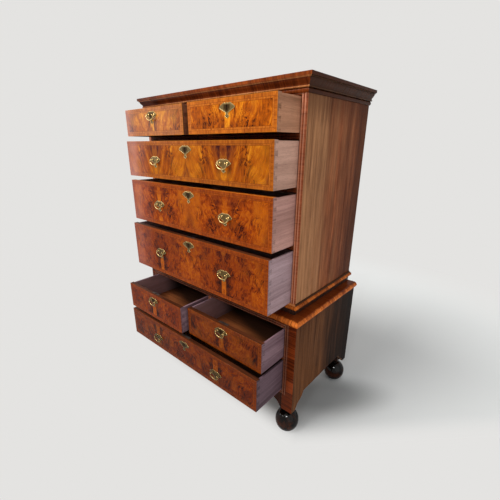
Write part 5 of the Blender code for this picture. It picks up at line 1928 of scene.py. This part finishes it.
class CHEST_OT_studio(bpy.types.Operator):
    """Set up the pale floor, the soft lights and the camera"""

    bl_idname = "chest.studio"
    bl_label = "Studio"

    def execute(self, context):
        settings = context.scene.chest_studio
        context.scene.view_settings.view_transform = "Standard"
        self.add_world(context.scene, settings)
        self.add_floor(settings)
        self.add_suns(settings)
        fronts = ((1.0, 0.7), (-4.2, -2.9, 1.75), (-0.3, -0.3, 1.4))
        feet = ((0.6, 0.4), (1.25, -1.75, 1.95), (0.47, -0.12, 0.05))
        self.add_panel("sheen_panel", settings.sheen_light, *fronts)
        self.add_panel("spark_panel", settings.spark_light, *feet)
        self.add_camera(context.scene, settings)
        return {"FINISHED"}

    def add_world(self, scene, settings):
        """An even pale light, seen as the backdrop colour by the camera and in gloss."""
        world = bpy.data.worlds.new("studio_world")
        scene.world = world
        world.use_nodes = True
        nodes = Nodes(world.node_tree)
        world.node_tree.nodes.clear()
        path = nodes.outputs(nodes.add("ShaderNodeLightPath"))
        seen = nodes.most(path["Is Camera Ray"], path["Is Glossy Ray"], path["Is Transmission Ray"])
        light = nodes.make("ShaderNodeBackground", {"Color": WHITE, "Strength": settings.sky_light})
        shown = nodes.make("ShaderNodeBackground", {"Color": settings.backdrop, "Strength": 1.0})
        choice = nodes.make("ShaderNodeMixShader", {0: seen, 1: light, 2: shown})
        nodes.add("ShaderNodeOutputWorld", {"Surface": choice})

    def add_floor(self, settings):
        """A wide floor that takes the chest's shadow, and a painted shade beside its foot.

        Far off and on its lit sides it shows the even tone of the backdrop to the camera.
        """
        reach = 40.0
        corners = [(reach * side, reach * end, 0.0) for side, end in ((-1, -1), (1, -1), (1, 1), (-1, 1))]
        mesh = bpy.data.meshes.new("studio_floor")
        mesh.from_pydata(corners, [], [(0, 1, 2, 3)])
        nodes, shader = start_material("studio_floor")
        nodes.tree.nodes.remove(shader)
        place = nodes.make("ShaderNodeTexCoord", output="Object")
        x, y, unused = nodes.separate(place)
        away = nodes.make("ShaderNodeVectorMath", {0: place}, "Value", operation="LENGTH")
        to_viewer = x - y
        even = nodes.most(
            nodes.ease(away, 1.8, 2.8),
            nodes.ease(to_viewer, 0.61, 0.83),
            nodes.ease(y, -0.08, -0.24),
            nodes.ease(x, -0.45, -0.75),
        )
        path = nodes.outputs(nodes.add("ShaderNodeLightPath"))
        # The painted shade is an oval about the foot of the lower case's right side
        across = (to_viewer - 0.38) * 3.9
        along = (x + y - 0.68) * 1.55
        near = nodes.math("SQRT", along * along + across * across)
        contact = nodes.ease(near, 0.32, 1.05, 0.53, 1.0)
        shaded = {0: tuple(settings.floor), 1: contact}
        shaded = nodes.make("ShaderNodeVectorMath", shaded, operation="MULTIPLY")
        matt = nodes.make("ShaderNodeBsdfDiffuse", {"Color": shaded})
        glow = nodes.make("ShaderNodeEmission", {"Color": settings.backdrop, "Strength": 1.0})
        choice = {0: even * path["Is Camera Ray"], 1: matt, 2: glow}
        choice = nodes.make("ShaderNodeMixShader", choice)
        nodes.fill(nodes.tree.nodes["Material Output"], {"Surface": choice})
        mesh.materials.append(bpy.data.materials["studio_floor"])
        add_object("studio_floor", mesh)

    def add_suns(self, settings):
        """Strength, azimuth, height and softness in degrees, and colour of each sun."""
        suns = {
            "key": (settings.key_light, -122.0, 48.0, 36.0, (1.0, 0.985, 0.96)),
            "fill": (settings.fill_light, -20.0, 24.0, 60.0, WHITE),
            "glint": (settings.glint_light, -75.0, 40.0, 2.5, WHITE),
        }
        for name, (strength, azimuth, elevation, angle, colour) in suns.items():
            lamp = bpy.data.lights.new(name, "SUN")
            lamp.angle = math.radians(angle)
            lamp.color = colour
            around = math.radians(azimuth)
            up = math.radians(elevation)
            level = math.cos(up)
            source = Vector((math.cos(around) * level, math.sin(around) * level, math.sin(up)))
            self.add_lamp(name, lamp, strength, source * 5.0, Vector())

    def add_panel(self, name, strength, size, place, target):
        """A panel of light at a place, turned to a target, that shows only in what shines."""
        lamp = bpy.data.lights.new(name, "AREA")
        lamp.shape = "RECTANGLE"
        lamp.size, lamp.size_y = size
        thing = self.add_lamp(name, lamp, strength, Vector(place), Vector(target))
        thing.visible_diffuse = False
        thing.visible_camera = False

    def add_lamp(self, name, lamp, strength, place, target):
        lamp.energy = strength
        thing = add_object(name, lamp)
        thing.location = place
        thing.rotation_euler = (place - target).to_track_quat("Z", "Y").to_euler()
        return thing

    def add_camera(self, scene, settings):
        """The photograph's viewpoint, a little above the chest and to its right."""
        tilt_down = 0.3551
        turn = 0.7280
        camera = bpy.data.cameras.new("camera")
        camera.lens = settings.lens
        camera.sensor_width = 36.0
        camera.shift_x = 0.0106
        camera.shift_y = 0.0264
        camera.clip_start = 0.05
        scene.camera = add_object("camera", camera)
        scene.camera.location = (1.1523, -1.2051, 1.325)
        scene.camera.rotation_euler = (math.pi / 2 - tilt_down, 0.0, turn)


OPERATORS = (
    CHEST_OT_studio,
    CHEST_OT_finishes,
    CHEST_OT_upper_case,
    CHEST_OT_mouldings,
    CHEST_OT_lower_case,
    CHEST_OT_feet,
    CHEST_OT_drawers,
    CHEST_OT_handles,
    CHEST_OT_locks,
    CHEST_OT_fixings,
)


class CHEST_PT_panel(bpy.types.Panel):
    """Lists the steps that build the chest, and its colours and sizes."""

    bl_idname = "CHEST_PT_panel"
    bl_label = "Chest-on-Chest"
    bl_space_type = "VIEW_3D"
    bl_region_type = "UI"
    bl_category = "Chest"

    def draw(self, context):
        column = self.layout.column(align=True)
        for operator in OPERATORS:
            column.operator(operator.bl_idname, text=operator.bl_label)
        for group in SETTINGS:
            settings = getattr(context.scene, group)
            column = self.layout.column()
            for name in settings.__annotations__:
                column.prop(settings, name)


SETTINGS = {
    "chest_sizes": ChestSizes,
    "chest_studio": StudioSettings,
    "chest_colours": ChestColours,
}
CLASSES = (*SETTINGS.values(), *OPERATORS, CHEST_PT_panel)


def register():
    for item in CLASSES:
        bpy.utils.register_class(item)
    for name, group in SETTINGS.items():
        setattr(bpy.types.Scene, name, PointerProperty(type=group))


def unregister():
    for name in SETTINGS:
        delattr(bpy.types.Scene, name)
    for item in reversed(CLASSES):
        bpy.utils.unregister_class(item)


def main():
    register()
    bpy.ops.chest.studio()
    bpy.ops.chest.finishes()
    bpy.ops.chest.upper_case()
    bpy.ops.chest.mouldings()
    bpy.ops.chest.lower_case()
    bpy.ops.chest.feet()
    bpy.ops.chest.drawers()
    bpy.ops.chest.handles()
    bpy.ops.chest.locks()
    bpy.ops.chest.fixings()


if __name__ == "__main__":
    main()
